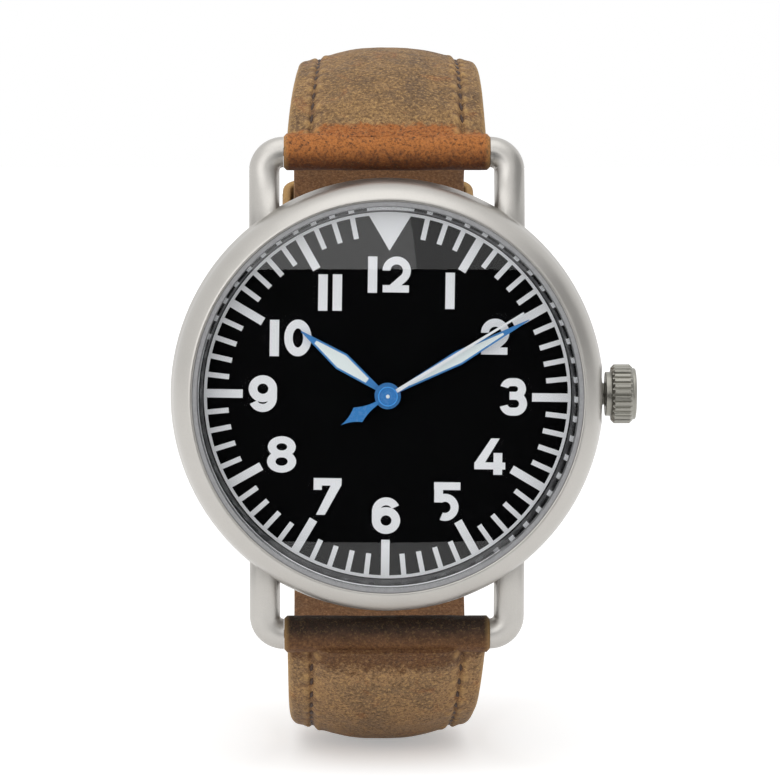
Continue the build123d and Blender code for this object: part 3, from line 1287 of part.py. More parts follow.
def punch(angle, length):
    """Oval cut through the strap at an angle."""
    turn = math.radians(angle)
    radial = (0, math.cos(turn), math.sin(turn))
    along = (0, -math.sin(turn), math.cos(turn))
    face = Plane(origin=loop_place(angle, LOOP_RADIUS - OVERRUN), x_dir=along, z_dir=radial)
    depth = PASS_RADIUS - LOOP_RADIUS + LINING_THICKNESS + UPPER_EDGE + LONG_CROWN + 2 * OVERRUN
    return extrude(face * SlotOverall(length, HOLE_WIDTH), depth)


def spring_bar(bar_z_sign):
    """Tube with two flanged sprung pins that reach into the lug holes."""
    y, z = BAR_CENTRE_Y, bar_z_sign * BAR_Y
    half = LUG_SPACING / 2 - BAR_TUBE_END_GAP
    sleeve = rod(BAR_TUBE_RADIUS, -half, half, y, z)
    sleeve -= rod(BAR_TUBE_BORE_RADIUS, -half - OVERRUN, half + OVERRUN, y, z)
    tip = LUG_SPACING / 2 + BAR_PIN_REACH
    pin = rod(BAR_PIN_RADIUS, half, tip, y, z) + rod(BAR_PIN_FLANGE_RADIUS, half - BAR_PIN_INSIDE, half, y, z)
    return Compound(children=[sleeve, pin, mirror(pin, Plane.YZ)])


# Keepers and buckle


def keeper(angle):
    """Leather band round both layers of the strap, rolled along the loop."""
    inner_half = STRAP_END_WIDTH / 2 + STRAP_GAP
    low = LOOP_RADIUS - STRAP_GAP
    high = TAIL_RADIUS + LINING_THICKNESS + TAIL_UPPER_EDGE + FLAT_CROWN + STRAP_GAP
    middle = (low + high) / 2
    spread = math.degrees(KEEPER_LENGTH / middle)
    cavity_width, cavity_height = 2 * inner_half, high - low
    outside = RectangleRounded(
        cavity_width + 2 * KEEPER_THICKNESS, cavity_height + 2 * KEEPER_THICKNESS, KEEPER_CORNER
    )
    band = loop_plane(angle - spread / 2, middle) * (outside - Rectangle(cavity_width, cavity_height))
    return revolve(band, Axis((0, LOOP_Y, -LOOP_DROP), (1, 0, 0)), spread)


BUCKLE_BAR_RADIUS = LOOP_RADIUS + LINING_THICKNESS + UPPER_EDGE + FLAT_CROWN + BUCKLE_BAR_LIFT
BUCKLE_BAR_PLACE = loop_place(BUCKLE_BAR_ANGLE, BUCKLE_BAR_RADIUS)
BUCKLE_REACH = math.dist(BUCKLE_PIN_PLACE, BUCKLE_BAR_PLACE)
BUCKLE_ALONG = [(end - start) / BUCKLE_REACH for start, end in zip(BUCKLE_PIN_PLACE, BUCKLE_BAR_PLACE)]
BUCKLE_OUT = (0, -BUCKLE_ALONG[2], BUCKLE_ALONG[1])


def buckle_frame():
    """Steel frame: two arms from the pin and a rounded bar over the long strap."""
    plane = Plane(origin=BUCKLE_PIN_PLACE, x_dir=(1, 0, 0), z_dir=BUCKLE_OUT)
    inner_half = STRAP_END_WIDTH / 2 + BUCKLE_ARM_GAP
    outer_half = inner_half + BUCKLE_ARM_WIDTH
    far = BUCKLE_REACH + BUCKLE_BAR_WIDTH / 2
    near = -BUCKLE_EAR
    half = BUCKLE_THICKNESS / 2
    frame = block(-outer_half, outer_half, near, far, -half, half)
    corners = frame.edges().filter_by(Axis.Z).sort_by(Axis.Y)[-2:]
    frame = fillet(corners, BUCKLE_CORNER)
    frame = fillet(frame.faces().sort_by(Axis.Z)[-1].edges(), BUCKLE_EDGE)
    bar_inner = BUCKLE_REACH - BUCKLE_BAR_WIDTH / 2
    frame -= block(-inner_half, inner_half, near - OVERRUN, bar_inner, -half - OVERRUN, half + OVERRUN)
    frame -= rod(BAR_HOLE_RADIUS, -inner_half - BAR_PIN_REACH, inner_half + BAR_PIN_REACH)
    return plane * frame


def buckle_pin():
    """Spring bar through the short strap's end roll and the tang's eye, its tips in the frame."""
    y, z = BUCKLE_PIN_PLACE[1], BUCKLE_PIN_PLACE[2]
    half = STRAP_END_WIDTH / 2
    inner_half = half + BUCKLE_ARM_GAP
    tip = inner_half + BAR_PIN_REACH - PART_GAP
    return rod(BUCKLE_PIN_RADIUS, -half, half, y, z) + rod(BAR_PIN_RADIUS, -tip, tip, y, z)


def arc_centre(first, second, third):
    """Centre of the circle through three flat points."""
    ax, ay = second[0] - first[0], second[1] - first[1]
    bx, by = third[0] - first[0], third[1] - first[1]
    cross = 2 * (ax * by - ay * bx)
    x = (by * (ax * ax + ay * ay) - ay * (bx * bx + by * by)) / cross
    y = (ax * (bx * bx + by * by) - bx * (ax * ax + ay * ay)) / cross
    return first[0] + x, first[1] + y


def buckle_tang():
    """Eye round the pin and a humped tongue through the strap's hole, resting on the frame's bar."""
    rest = BUCKLE_THICKNESS / 2 + RUNNING_GAP + TANG_THICKNESS / 2
    end = (BUCKLE_REACH + TANG_OVERHANG, rest)
    hump = (TANG_HUMP_AT, TANG_HUMP_HEIGHT)
    cx, cy = arc_centre((0, 0), hump, end)
    radius = math.hypot(cx, cy)
    start_angle = math.degrees(math.atan2(-cy, -cx))
    end_angle = math.degrees(math.atan2(end[1] - cy, end[0] - cx))
    half = TANG_THICKNESS / 2
    outer = CenterArc((cx, cy), radius + half, start_angle, end_angle - start_angle)
    inner = CenterArc((cx, cy), radius - half, start_angle, end_angle - start_angle)
    tongue = outline(outer, Line(outer @ 1, inner @ 1), inner, Line(inner @ 0, outer @ 0))
    profile = tongue + Circle(TANG_EYE_RADIUS) - Circle(END_ROLL_BORE_RADIUS)
    side = Plane(origin=BUCKLE_PIN_PLACE, x_dir=BUCKLE_ALONG, z_dir=(1, 0, 0))
    return extrude(side * profile, TANG_WIDTH / 2, both=True)


def head_pieces():
    """Every piece of the head, lying on its back."""
    return {
        "case_middle": case_middle(),
        "bezel": bezel(),
        "crystal": crystal(),
        "crystal_gasket": crystal_gasket(),
        "rehaut_ring": rehaut_ring(),
        "dial": dial(),
        "case_back": case_back(),
        "case_back_gasket": case_back_gasket(),
        "crown_tube": crown_tube(),
        "crown": crown(),
        "crown_gasket": crown_gasket(),
        "stem": stem(),
        "clutch_pinion": clutch_pinion(),
        "setting_lever": setting_lever(),
        "movement_holder": movement_holder(),
        "main_plate": main_plate(),
        "train_bridge": train_bridge(),
        "bridge_screws": bridge_screws(),
        "battery": battery(),
        "circuit_board": circuit_board(),
        "quartz_can": quartz_can(),
        "coil_winding": coil_winding(),
        "coil_core": coil_core(),
        "stator": stator(),
        "rotor": rotor(),
        "intermediate_wheel": intermediate_wheel(),
        "seconds_wheel": seconds_wheel(),
        "third_wheel": third_wheel(),
        "centre_wheel": centre_wheel(),
        "cannon_pinion": cannon_pinion(),
        "minute_wheel": minute_wheel(),
        "setting_wheel": setting_wheel(),
        "hour_wheel": hour_wheel(),
        "hour_hand": sword_hand(
            HOUR_HAND_Z, HOUR_TUBE_RADIUS, HAND_HUB_RADIUS, HOUR_ANGLE, HOUR_LUME_START, HOUR_LUME_END, *HOUR_SIZES
        ),
        "hour_hand_filling": filling(HOUR_HAND_Z, HOUR_ANGLE, HOUR_LUME_START, HOUR_LUME_END, *HOUR_SIZES),
        "minute_hand": sword_hand(
            MINUTE_HAND_Z,
            CANNON_TUBE_RADIUS,
            HAND_HUB_RADIUS,
            MINUTE_ANGLE,
            MINUTE_LUME_START,
            MINUTE_LUME_END,
            *MINUTE_SIZES,
        ),
        "minute_hand_filling": filling(
            MINUTE_HAND_Z, MINUTE_ANGLE, MINUTE_LUME_START, MINUTE_LUME_END, *MINUTE_SIZES
        ),
        "seconds_hand": seconds_hand(),
    }


def strap_pieces():
    """Every piece of the strap and buckle, in place on the loop."""
    return {
        "strap_short_upper": strap_short_upper(),
        "strap_short_lining": strap_short_lining(),
        "strap_long_upper": strap_long_upper(),
        "strap_long_lining": strap_long_lining(),
        "spring_bar_upper": spring_bar(1),
        "spring_bar_lower": spring_bar(-1),
        "fixed_keeper": keeper(FIXED_KEEPER_ANGLE),
        "floating_keeper": keeper(FLOATING_KEEPER_ANGLE),
        "buckle_frame": buckle_frame(),
        "buckle_pin": buckle_pin(),
        "buckle_tang": buckle_tang(),
    }


def main():
    os.makedirs("parts", exist_ok=True)
    for name, shape in head_pieces().items():
        export_step(UPRIGHT * shape, f"parts/{name}.step")
    for name, shape in strap_pieces().items():
        export_step(shape, f"parts/{name}.step")


main()
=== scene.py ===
import json
import math

import bmesh
import bpy
from bpy.props import FloatProperty, FloatVectorProperty, IntProperty, PointerProperty
from bpy.types import Operator, Panel, PropertyGroup
from mathutils import Matrix, Vector, noise


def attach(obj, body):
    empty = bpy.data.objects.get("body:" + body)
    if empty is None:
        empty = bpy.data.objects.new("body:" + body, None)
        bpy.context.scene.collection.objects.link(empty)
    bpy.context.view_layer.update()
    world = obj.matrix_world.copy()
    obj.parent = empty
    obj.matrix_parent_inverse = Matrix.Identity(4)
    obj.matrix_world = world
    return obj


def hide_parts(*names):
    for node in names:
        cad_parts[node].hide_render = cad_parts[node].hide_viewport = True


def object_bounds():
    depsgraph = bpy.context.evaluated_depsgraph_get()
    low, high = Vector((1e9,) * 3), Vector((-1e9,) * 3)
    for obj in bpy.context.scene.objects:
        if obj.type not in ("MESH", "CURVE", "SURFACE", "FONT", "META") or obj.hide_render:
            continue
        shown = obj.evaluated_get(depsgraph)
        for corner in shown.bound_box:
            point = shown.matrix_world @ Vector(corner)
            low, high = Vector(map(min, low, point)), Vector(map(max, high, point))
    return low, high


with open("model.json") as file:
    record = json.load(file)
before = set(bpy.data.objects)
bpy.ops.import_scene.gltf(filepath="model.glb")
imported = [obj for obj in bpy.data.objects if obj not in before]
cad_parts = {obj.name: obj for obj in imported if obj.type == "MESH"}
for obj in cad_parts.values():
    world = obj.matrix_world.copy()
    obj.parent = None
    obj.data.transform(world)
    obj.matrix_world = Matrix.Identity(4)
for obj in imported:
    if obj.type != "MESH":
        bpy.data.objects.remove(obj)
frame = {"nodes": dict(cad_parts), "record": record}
CAD_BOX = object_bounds()

bl_info = {
    "name": "Pilot watch",
    "version": (1, 0, 0),
    "blender": (4, 5, 0),
    "location": "3D View > Sidebar > Watch",
    "description": "Dresses a steel pilot watch on a padded leather strap: case, dial, hands, crown, strap and stage",
    "category": "Object",
}

MM = 0.001
FULL_TURN = 2 * math.pi
DIAL_AXIS = Vector((0, 1, 0))
SIDE_AXIS = Vector((1, 0, 0))
MERGE_DISTANCE = 0.0005
LEATHER_VALUES = ("seam", "rim", "fold")

# Head, in millimetres and degrees

DIAL_TOP = 6.4
CROWN_AXIS_Y = -4.0
SECONDS_ANGLE = 58.5
HUB_RADIUS = 0.97
LAYER_HEIGHT = 0.003
# Painted reflection of the minute bars: dashes on the rehaut and on the crystal ring's lip, on their upper right only
DASH_SHARE = 0.3
DASH_FOOT = 8.3
WIDE_DASH_HALF_ANGLE = 7.2
MIRROR_WAY = (0.59, 0.807)
MIRROR_START = -7.2
MIRROR_FULL_FROM = -4.2
# Lip of the crystal ring: painted reflection of the dial, with a painted highlight line at its outer edge
LIP_RADIUS = 18.3
LIP_PAINTED_HIGHLIGHT_RADIUS = 18.2

# Strap, in millimetres and degrees

LOOP_CENTRE_Y = 18.0
LOOP_CENTRE_Z = -1.1
BAR_Y = -3.0
BAR_Z = 23.5
UPPER_BAR_ANGLE = 130.5
LOWER_BAR_ANGLE = -133.2
LOOP_SETTLE_ANGLE = 20
CROWN_RISE_ANGLE = 9
SHORT_CROWN_FULL_UNTIL = 88
SHORT_CROWN_FLAT_FROM = 60
LONG_CROWN_FULL_UNTIL = -75
LONG_CROWN_FLAT_FROM = -40
STEP_START_ANGLE = -26
STEP_END_ANGLE = -8
PASS_END_ANGLE = -3
TAIL_START_ANGLE = 3
TIP_START_ANGLE = 48
TAIL_END_ANGLE = 58
LINING = 0.9
SHORT_CROWN_START = 1.05
LONG_CROWN_START = 1.55
FLAT_CROWN = 0.35
TAIL_EDGE = 1.1
TIP_WIDTH = 3.2
PASS_LIFT = 3.55
TAIL_LIFT = 3.1
SEAM_LIFT = 2.0
PAD_STEP = 0.42
EDGE_ROUNDING = 0.7
CHANNEL_WIDTH = 0.24
STITCH_SLANT = 9
ROLL_OVERHANG = 0.17
BUCKLE_PIN_ANGLE = -6
END_ROLL_RADIUS = 1.65
TANG_SLOT_HALF = 1.2
FIXED_KEEPER_ANGLE = 8
FLOATING_KEEPER_ANGLE = 30
HOLE_ANGLES = range(-38, 50, 11)
HOLE_LENGTH = 2.8
HOLE_WIDTH = 1.8
TANG_HOLE_ANGLE = -10.2
TANG_HOLE_LENGTH = 5.4


# Sizes and colours


def size(name, description, millimetres):
    """Length property with its default in millimetres."""
    return FloatProperty(name=name, description=description, default=millimetres * MM, unit="LENGTH", precision=5)


def tilt(name, description, degrees):
    """Angle property with its default in degrees."""
    return FloatProperty(name=name, description=description, default=math.radians(degrees), subtype="ANGLE")


def tint(red, green, blue):
    """Linear colour of a display colour from 0 to 255."""
    channels = [value / 255 for value in (red, green, blue)]
    return tuple(c / 12.92 if c <= 0.04045 else ((c + 0.055) / 1.055) ** 2.4 for c in channels)


def colour(name, description, *display):
    """Colour property with its default as a display colour from 0 to 255."""
    return FloatVectorProperty(
        name=name, description=description, default=tint(*display), subtype="COLOR", size=3, min=0.0, max=1.0
    )


class HeadSizes(PropertyGroup):
    """Sizes of the metalwork and the glass."""

    bezel_foot_radius: size("Bezel foot radius", "Radius of the bezel where it stands on the case", 20.72)
    bezel_shoulder_radius: size("Bezel shoulder radius", "Radius of the bezel's dome at the shoulder", 20.3)
    bezel_top_radius: size("Bezel top radius", "Radius where the dome ends at the flat rim", 19.1)
    bezel_mouth_radius: size("Bezel mouth radius", "Radius of the opening that holds gasket and crystal", 18.85)
    crystal_rise: size("Crystal rise", "Height of the crystal's dome over its edge", 1.15)
    rehaut_foot_radius: size("Rehaut foot radius", "Inner radius of the rehaut at the dial", 17.84)
    rehaut_top_radius: size("Rehaut top radius", "Inner radius of the rehaut under the crystal", 18.08)
    crown_radius: size("Crown radius", "Radius over the crown's ridges", 2.875)
    crown_ridge_depth: size("Crown ridge depth", "Depth of the grooves between the crown's ridges", 0.2)
    crown_ridges: IntProperty(name="Crown ridges", description="Number of ridges round the crown", default=30)


class DialSizes(PropertyGroup):
    """Sizes of the printing on the dial."""

    ring_radius: size("Ring radius", "Outer radius of the printed ring", 17.76)
    ring_width: size("Ring width", "Width of the printed ring", 0.3)
    hour_bar_start: size("Hour bar start", "Radius at which the hour bars start", 14.0)
    hour_bar_width: size("Hour bar width", "Width of the hour bars", 0.82)
    minute_bar_start: size("Minute bar start", "Radius at which the minute bars start", 15.42)
    minute_bar_width: size("Minute bar width", "Width of the minute bars", 0.5)
    triangle_half: size("Triangle half width", "Half the base of the triangle at twelve", 2.13)
    triangle_apex: size("Triangle apex", "Radius of the triangle's point", 14.0)
    stroke: size("Numeral stroke", "Width of the numerals' strokes", 0.77)
    relief: size("Print relief", "Height of the printing over the dial", 0.03)
    turn: tilt("Dial turn", "Clockwise turn of the dial in the case", 0.8)


class StrapSizes(PropertyGroup):
    """Sizes of the padded strap."""

    width: size("Width at the lugs", "Width of the strap at the lugs", 19.7)
    waist: size("Waist", "Width that the strap loses behind its rolled ends", 1.8)
    end_width: size("Width at the buckle", "Width of the strap at the buckle", 18.0)
    loop_radius: size("Loop radius", "Inner radius of the closed strap", 30.9)
    edge: size("Edge thickness", "Thickness of the upper leather outside the seams", 1.6)
    short_crown: size("Short crown", "Height of the padding in the short strap", 1.5)
    long_crown: size("Long crown", "Height of the padding in the long strap", 1.65)
    seam_margin: size("Seam margin", "Distance from the strap's edge to the seam", 2.4)
    seam_depth: size("Seam depth", "Depth of the channel along the seam", 0.26)
    stitch_pitch: size("Stitch pitch", "Distance from stitch to stitch", 2.0)
    stitch_radius: size("Stitch radius", "Radius of the thread", 0.21)
    pucker: size("Pucker", "Height of the leather's puckers beside the seam", 0.2)
    roll_radius: size("Roll radius", "Radius of the leather rolled round the lug bars", 1.78)


class Finishes(PropertyGroup):
    """Colours of the finishes."""

    steel: colour("Steel", "Bead-blasted case steel", 192, 189, 184)
    neck: colour("Crown neck", "Darker steel of the crown's neck", 118, 116, 108)
    gasket: colour("Gasket", "Grey ring round the crystal", 156, 156, 158)
    lacquer: colour("Dial lacquer", "Black of the dial", 3, 3, 4)
    printing: colour("Printing", "White of the bars and numerals", 252, 252, 255)
    blued: colour("Blued hands", "Blue of the hands", 62, 138, 208)
    filling: colour("Hand filling", "White filling of the hands", 244, 252, 252)
    leather: colour("Leather", "Middle tone of the padded leather", 153, 119, 78)
    leather_dark: colour("Leather shade", "Grey-brown patches of the leather", 118, 92, 64)
    leather_light: colour("Leather light", "Rubbed grain of the leather", 202, 162, 104)
    leather_rust: colour("Leather rust", "Warm tone where the leather is folded", 174, 102, 46)
    lining: colour("Lining", "Leather on the strap's inner side", 120, 82, 52)
    thread: colour("Thread", "Waxed thread of the seams", 66, 42, 28)


class StageSizes(PropertyGroup):
    """Camera and light."""

    distance: size("Camera distance", "Distance from the camera to the case", 500.0)
    lens: FloatProperty(name="Lens", description="Focal length in millimetres", default=237.9, unit="CAMERA")
    elevation: tilt("Elevation", "Height of the camera over the dial's axis", 3.3)
    azimuth: tilt("Azimuth", "Turn of the camera to the left", 1.1)
    ambience: FloatProperty(name="Ambience", description="Brightness of the room's light", default=0.72)


# Shader maths


class Socket:
    """Output of a node, on which arithmetic adds Math nodes."""

    def __init__(self, graph, link):
        self.graph = graph
        self.link = link

    def math(self, operation, *others):
        """Result of a Math node on this value and others."""
        return self.graph.add("ShaderNodeMath", {"operation": operation}, dict(enumerate((self, *others))))

    def __add__(self, other):
        return self.math("ADD", other)

    __radd__ = __add__

    def __mul__(self, other):
        return self.math("MULTIPLY", other)

    __rmul__ = __mul__

    def __sub__(self, other):
        return self.math("SUBTRACT", other)

    def __rsub__(self, other):
        return self.graph.add("ShaderNodeMath", {"operation": "SUBTRACT"}, {0: other, 1: self})

    def __pow__(self, other):
        return self.math("POWER", other)

    def __gt__(self, other):
        return self.math("GREATER_THAN", other)

    def __lt__(self, other):
        return self.math("LESS_THAN", other)


class Graph:
    """Node tree of one material, or of the world."""

    def __init__(self, name, world=False):
        self.owner = (bpy.data.worlds if world else bpy.data.materials).new(name)
        self.owner.use_nodes = True
        self.tree = self.owner.node_tree
        self.tree.nodes.clear()
        self.end = "ShaderNodeOutputWorld" if world else "ShaderNodeOutputMaterial"

    def add(self, kind, settings=None, inputs=None, output=0):
        """Add a node: its settings first, then the values or links of its sockets."""
        node = self.tree.nodes.new(kind)
        for name, value in (settings or {}).items():
            setattr(node, name, value)
        for name, value in (inputs or {}).items():
            if isinstance(value, Socket):
                self.tree.links.new(value.link, node.inputs[name])
            else:
                socket = node.inputs[name]
                wide = hasattr(socket.default_value, "__len__") and len(socket.default_value) == 4 and len(value) == 3
                socket.default_value = (*value, 1.0) if wide else value
        return Socket(self, node.outputs[output])

    def place(self):
        """Object coordinates."""
        return self.add("ShaderNodeTexCoord", output="Object")

    def axes(self):
        """Object coordinates as three values, in metres."""
        split = self.add("ShaderNodeSeparateXYZ", {}, {0: self.place()})
        outputs = split.link.node.outputs
        return [Socket(self, outputs[index]) for index in range(3)]

    def radius(self):
        """Distance from the dial's axis, in metres."""
        x, _, z = self.axes()
        return (x * x + z * z) ** 0.5

    def seen(self):
        """1 for rays from the camera, from a mirror or through glass, 0 for rays of light alone."""
        camera, glossy, through = (
            self.add("ShaderNodeLightPath", output=f"Is {kind} Ray") for kind in ("Camera", "Glossy", "Transmission")
        )
        return camera.math("MAXIMUM", glossy).math("MAXIMUM", through)

    def stretched(self, scale):
        """Object coordinates scaled by three factors."""
        return self.add("ShaderNodeMapping", {}, {"Vector": self.place(), "Scale": scale})

    def noise(self, scale, detail=3.0, roughness=0.55, vector=None, distortion=0.0):
        """Cloudy pattern from 0 to 1."""
        inputs = {"Vector": vector or self.place(), "Scale": scale, "Detail": detail, "Roughness": roughness}
        return self.add("ShaderNodeTexNoise", {}, {**inputs, "Distortion": distortion})

    def cells(self, scale, feature, vector):
        """Distances in a cell pattern."""
        return self.add("ShaderNodeTexVoronoi", {"feature": feature}, {"Vector": vector, "Scale": scale}, "Distance")

    def ramp(self, value, low, high, start=0.0, end=1.0):
        """Value mapped smoothly from one span to another and held there."""
        settings = {"interpolation_type": "SMOOTHSTEP", "clamp": True}
        names = ("Value", "From Min", "From Max", "To Min", "To Max")
        return self.add("ShaderNodeMapRange", settings, dict(zip(names, (value, low, high, start, end))))

    def mix(self, factor, first, second):
        """Colour between two colours."""
        settings = {"data_type": "RGBA", "clamp_factor": True}
        return self.add("ShaderNodeMix", settings, {0: factor, 6: first, 7: second}, 2)

    def attribute(self, name):
        """Value stored on the mesh's points."""
        return self.add("ShaderNodeAttribute", {"attribute_name": name}, {}, "Fac")

    def shaken(self, scale, reach):
        """Object coordinates shaken by a noise, for torn-looking cells."""
        inputs = {"Vector": self.place(), "Scale": scale, "Detail": 2.0}
        shake = self.add("ShaderNodeTexNoise", {}, inputs, "Color")
        centred = self.add("ShaderNodeVectorMath", {"operation": "SUBTRACT"}, {0: shake, 1: (0.5, 0.5, 0.5)})
        scaled = self.add("ShaderNodeVectorMath", {"operation": "SCALE"}, {0: centred, "Scale": reach})
        return self.add("ShaderNodeVectorMath", {"operation": "ADD"}, {0: self.place(), 1: scaled})

    def bump(self, height, distance, strength=1.0, normal=None):
        """Normal raised by a height from 0 to 1, over a distance in millimetres."""
        inputs = {"Height": height, "Distance": distance * MM, "Strength": strength}
        if normal:
            inputs["Normal"] = normal
        return self.add("ShaderNodeBump", {}, inputs)

    def surface(self, base, roughness, metallic, normal, gloss=0.5):
        """Finished material with a Principled surface."""
        inputs = {"Base Color": base, "Roughness": roughness, "Metallic": metallic, "Normal": normal}
        return self.output(self.add("ShaderNodeBsdfPrincipled", {}, {**inputs, "Specular IOR Level": gloss}))

    def output(self, shader):
        """Put a shader on the output and return the finished material or world."""
        node = self.tree.nodes.new(self.end)
        self.tree.links.new(shader.link, node.inputs["Surface"])
        return self.owner


# Finishes


def toned(base, share):
    """Colour made darker or lighter."""
    return tuple(share * channel for channel in base)


def blasted_steel(name, base, roughness=0.36, grain=0.012):
    """Bead-blasted steel: fine even grain with faint cloudy wear."""
    graph = Graph(name)
    fine = graph.noise(9000, 2.0, 0.7)
    clouds = graph.noise(140, 4.0, 0.6)
    shade = graph.mix(graph.ramp(clouds, 0.3, 0.7), toned(base, 0.93), base)
    shade = graph.mix(graph.ramp(fine, 0.35, 0.75) * 0.22, shade, toned(base, 0.72))
    rough = graph.ramp(clouds, 0.3, 0.7, roughness - 0.03, roughness + 0.05)
    return graph.surface(shade, rough, 1.0, graph.bump(fine, grain))


def turned_steel(name, base, roughness):
    """Steel with fine rings about the dial's axis."""
    graph = Graph(name)
    rings = graph.noise(1.0, 3.0, 0.7, graph.add("ShaderNodeCombineXYZ", {}, {0: graph.radius() * 24000}))
    shade = graph.mix(graph.ramp(rings, 0.3, 0.7), toned(base, 0.86), base)
    rough = graph.ramp(rings, 0.25, 0.75, roughness, roughness + 0.12)
    return graph.surface(shade, rough, 1.0, graph.bump(rings, 0.006))


def drawn_metal(name, base, roughness, scale=(3000, 40000, 40000)):
    """Metal with a fine drawn grain."""
    graph = Graph(name)
    grain = graph.noise(1.0, 3.0, 0.65, graph.stretched(scale))
    shade = graph.mix(graph.ramp(grain, 0.3, 0.75), toned(base, 0.84), base)
    rough = graph.ramp(grain, 0.3, 0.7, roughness, roughness + 0.12)
    return graph.surface(shade, rough, 1.0, graph.bump(grain, 0.004))


def moulded(name, base, roughness):
    """Moulded plastic or rubber with a faint skin."""
    graph = Graph(name)
    skin = graph.noise(7000, 2.0, 0.6)
    clouds = graph.noise(300, 2.0, 0.5)
    shade = graph.mix(graph.ramp(clouds, 0.3, 0.7), toned(base, 0.9), base)
    rough = graph.ramp(skin, 0.3, 0.7, roughness, roughness + 0.1)
    return graph.surface(shade, rough, 0.0, graph.bump(skin, 0.008))


def glossy_paint(name, base, roughness, wear, gloss=0.5):
    """Smooth lacquer or print with a faint unevenness."""
    graph = Graph(name)
    clouds = graph.noise(900, 3.0, 0.6)
    shade = graph.mix(graph.ramp(clouds, 0.35, 0.75) * wear, base, toned(base, 0.6))
    rough = graph.ramp(clouds, 0.3, 0.7, roughness, roughness + 0.08)
    return graph.surface(shade, rough, 0.0, graph.bump(clouds, 0.004), gloss)


def clear_glass(name):
    """Thin clear glass: see-through, with its own gloss."""
    graph = Graph(name)
    smear = graph.noise(60, 2.0, 0.5)
    clear = graph.add("ShaderNodeBsdfTransparent", {}, {"Color": (0.985, 0.99, 0.99)})
    rough = graph.ramp(smear, 0.2, 0.8, 0.0, 0.015)
    gloss = graph.add("ShaderNodeBsdfGlossy", {}, {"Color": (1.0, 1.0, 1.0), "Roughness": rough})
    share = graph.add("ShaderNodeLayerWeight", {}, {"Blend": 0.5}, "Facing") ** 5 * 0.96 + 0.04
    return graph.output(graph.add("ShaderNodeMixShader", {}, {0: share, 1: clear, 2: gloss}))


def painted_dash_mask(graph, clockwise):
    """1 on a painted reflected dash at every minute and on the wide one at twelve."""
    x, _, z = graph.axes()
    turn = graph.add("ShaderNodeMath", {"operation": "ARCTAN2"}, {0: x, 1: z}) - clockwise
    wave = (turn * 60).math("COSINE")
    wide = turn.math("ABSOLUTE") < math.radians(WIDE_DASH_HALF_ANGLE)
    return (wave > math.cos(math.pi * DASH_SHARE)).math("MAXIMUM", wide)


def painted_reflection_side(graph):
    """1 on the upper right of the ring, where the minute bars' reflection is painted, and 0 on its lower left."""
    x, _, z = graph.axes()
    return graph.ramp(x * MIRROR_WAY[0] + z * MIRROR_WAY[1], MIRROR_START * MM, MIRROR_FULL_FROM * MM)


def rehaut_gloss(name, black, white, clockwise):
    """Black slope with a painted reflection of the minute bars: white dashes near its top."""
    graph = Graph(name)
    height = graph.axes()[1] * -1
    band = graph.ramp(height, DASH_FOOT * MM, (DASH_FOOT + 0.06) * MM)
    # Painted reflection on the top band: white dashes on the upper right, and the black a little lighter there
    mask = painted_dash_mask(graph, clockwise) * band * painted_reflection_side(graph)
    smear = graph.noise(500, 2.0, 0.5)
    dark = graph.mix(band * 0.6, black, (0.02, 0.02, 0.022))
    shade = graph.mix(mask, graph.mix(smear * 0.3, dark, (0.012, 0.012, 0.02)), white)
    rough = graph.ramp(smear, 0.3, 0.7, 0.25, 0.35)
    return graph.surface(shade, rough, 0.0, graph.bump(smear, 0.003), 0.06)


def gasket_ring(name, grey, black, white, clockwise):
    """Grey ring whose inner lip has a painted reflection of the dial: black with painted white dashes on its upper
    right, and black with a painted white highlight line at its outer edge on its lower left.
    """
    graph = Graph(name)
    radius = graph.radius()
    lip = radius < LIP_RADIUS * MM
    skin = graph.noise(5000, 2.0, 0.6)
    ring = graph.mix(graph.ramp(skin, 0.3, 0.7), toned(grey, 0.86), grey)
    # Painted reflection and painted highlight on the lip, not the ring's own colour
    painted_dashes = graph.mix(painted_dash_mask(graph, clockwise), black, white)
    lip_painted_reflection = graph.mix(painted_reflection_side(graph), graph.mix(radius < LIP_PAINTED_HIGHLIGHT_RADIUS * MM, white, black), painted_dashes)
    rough = graph.ramp(skin, 0.3, 0.7, 0.3, 0.42)
    return graph.surface(graph.mix(lip, ring, lip_painted_reflection), rough, 0.0, graph.bump(skin, 0.004))


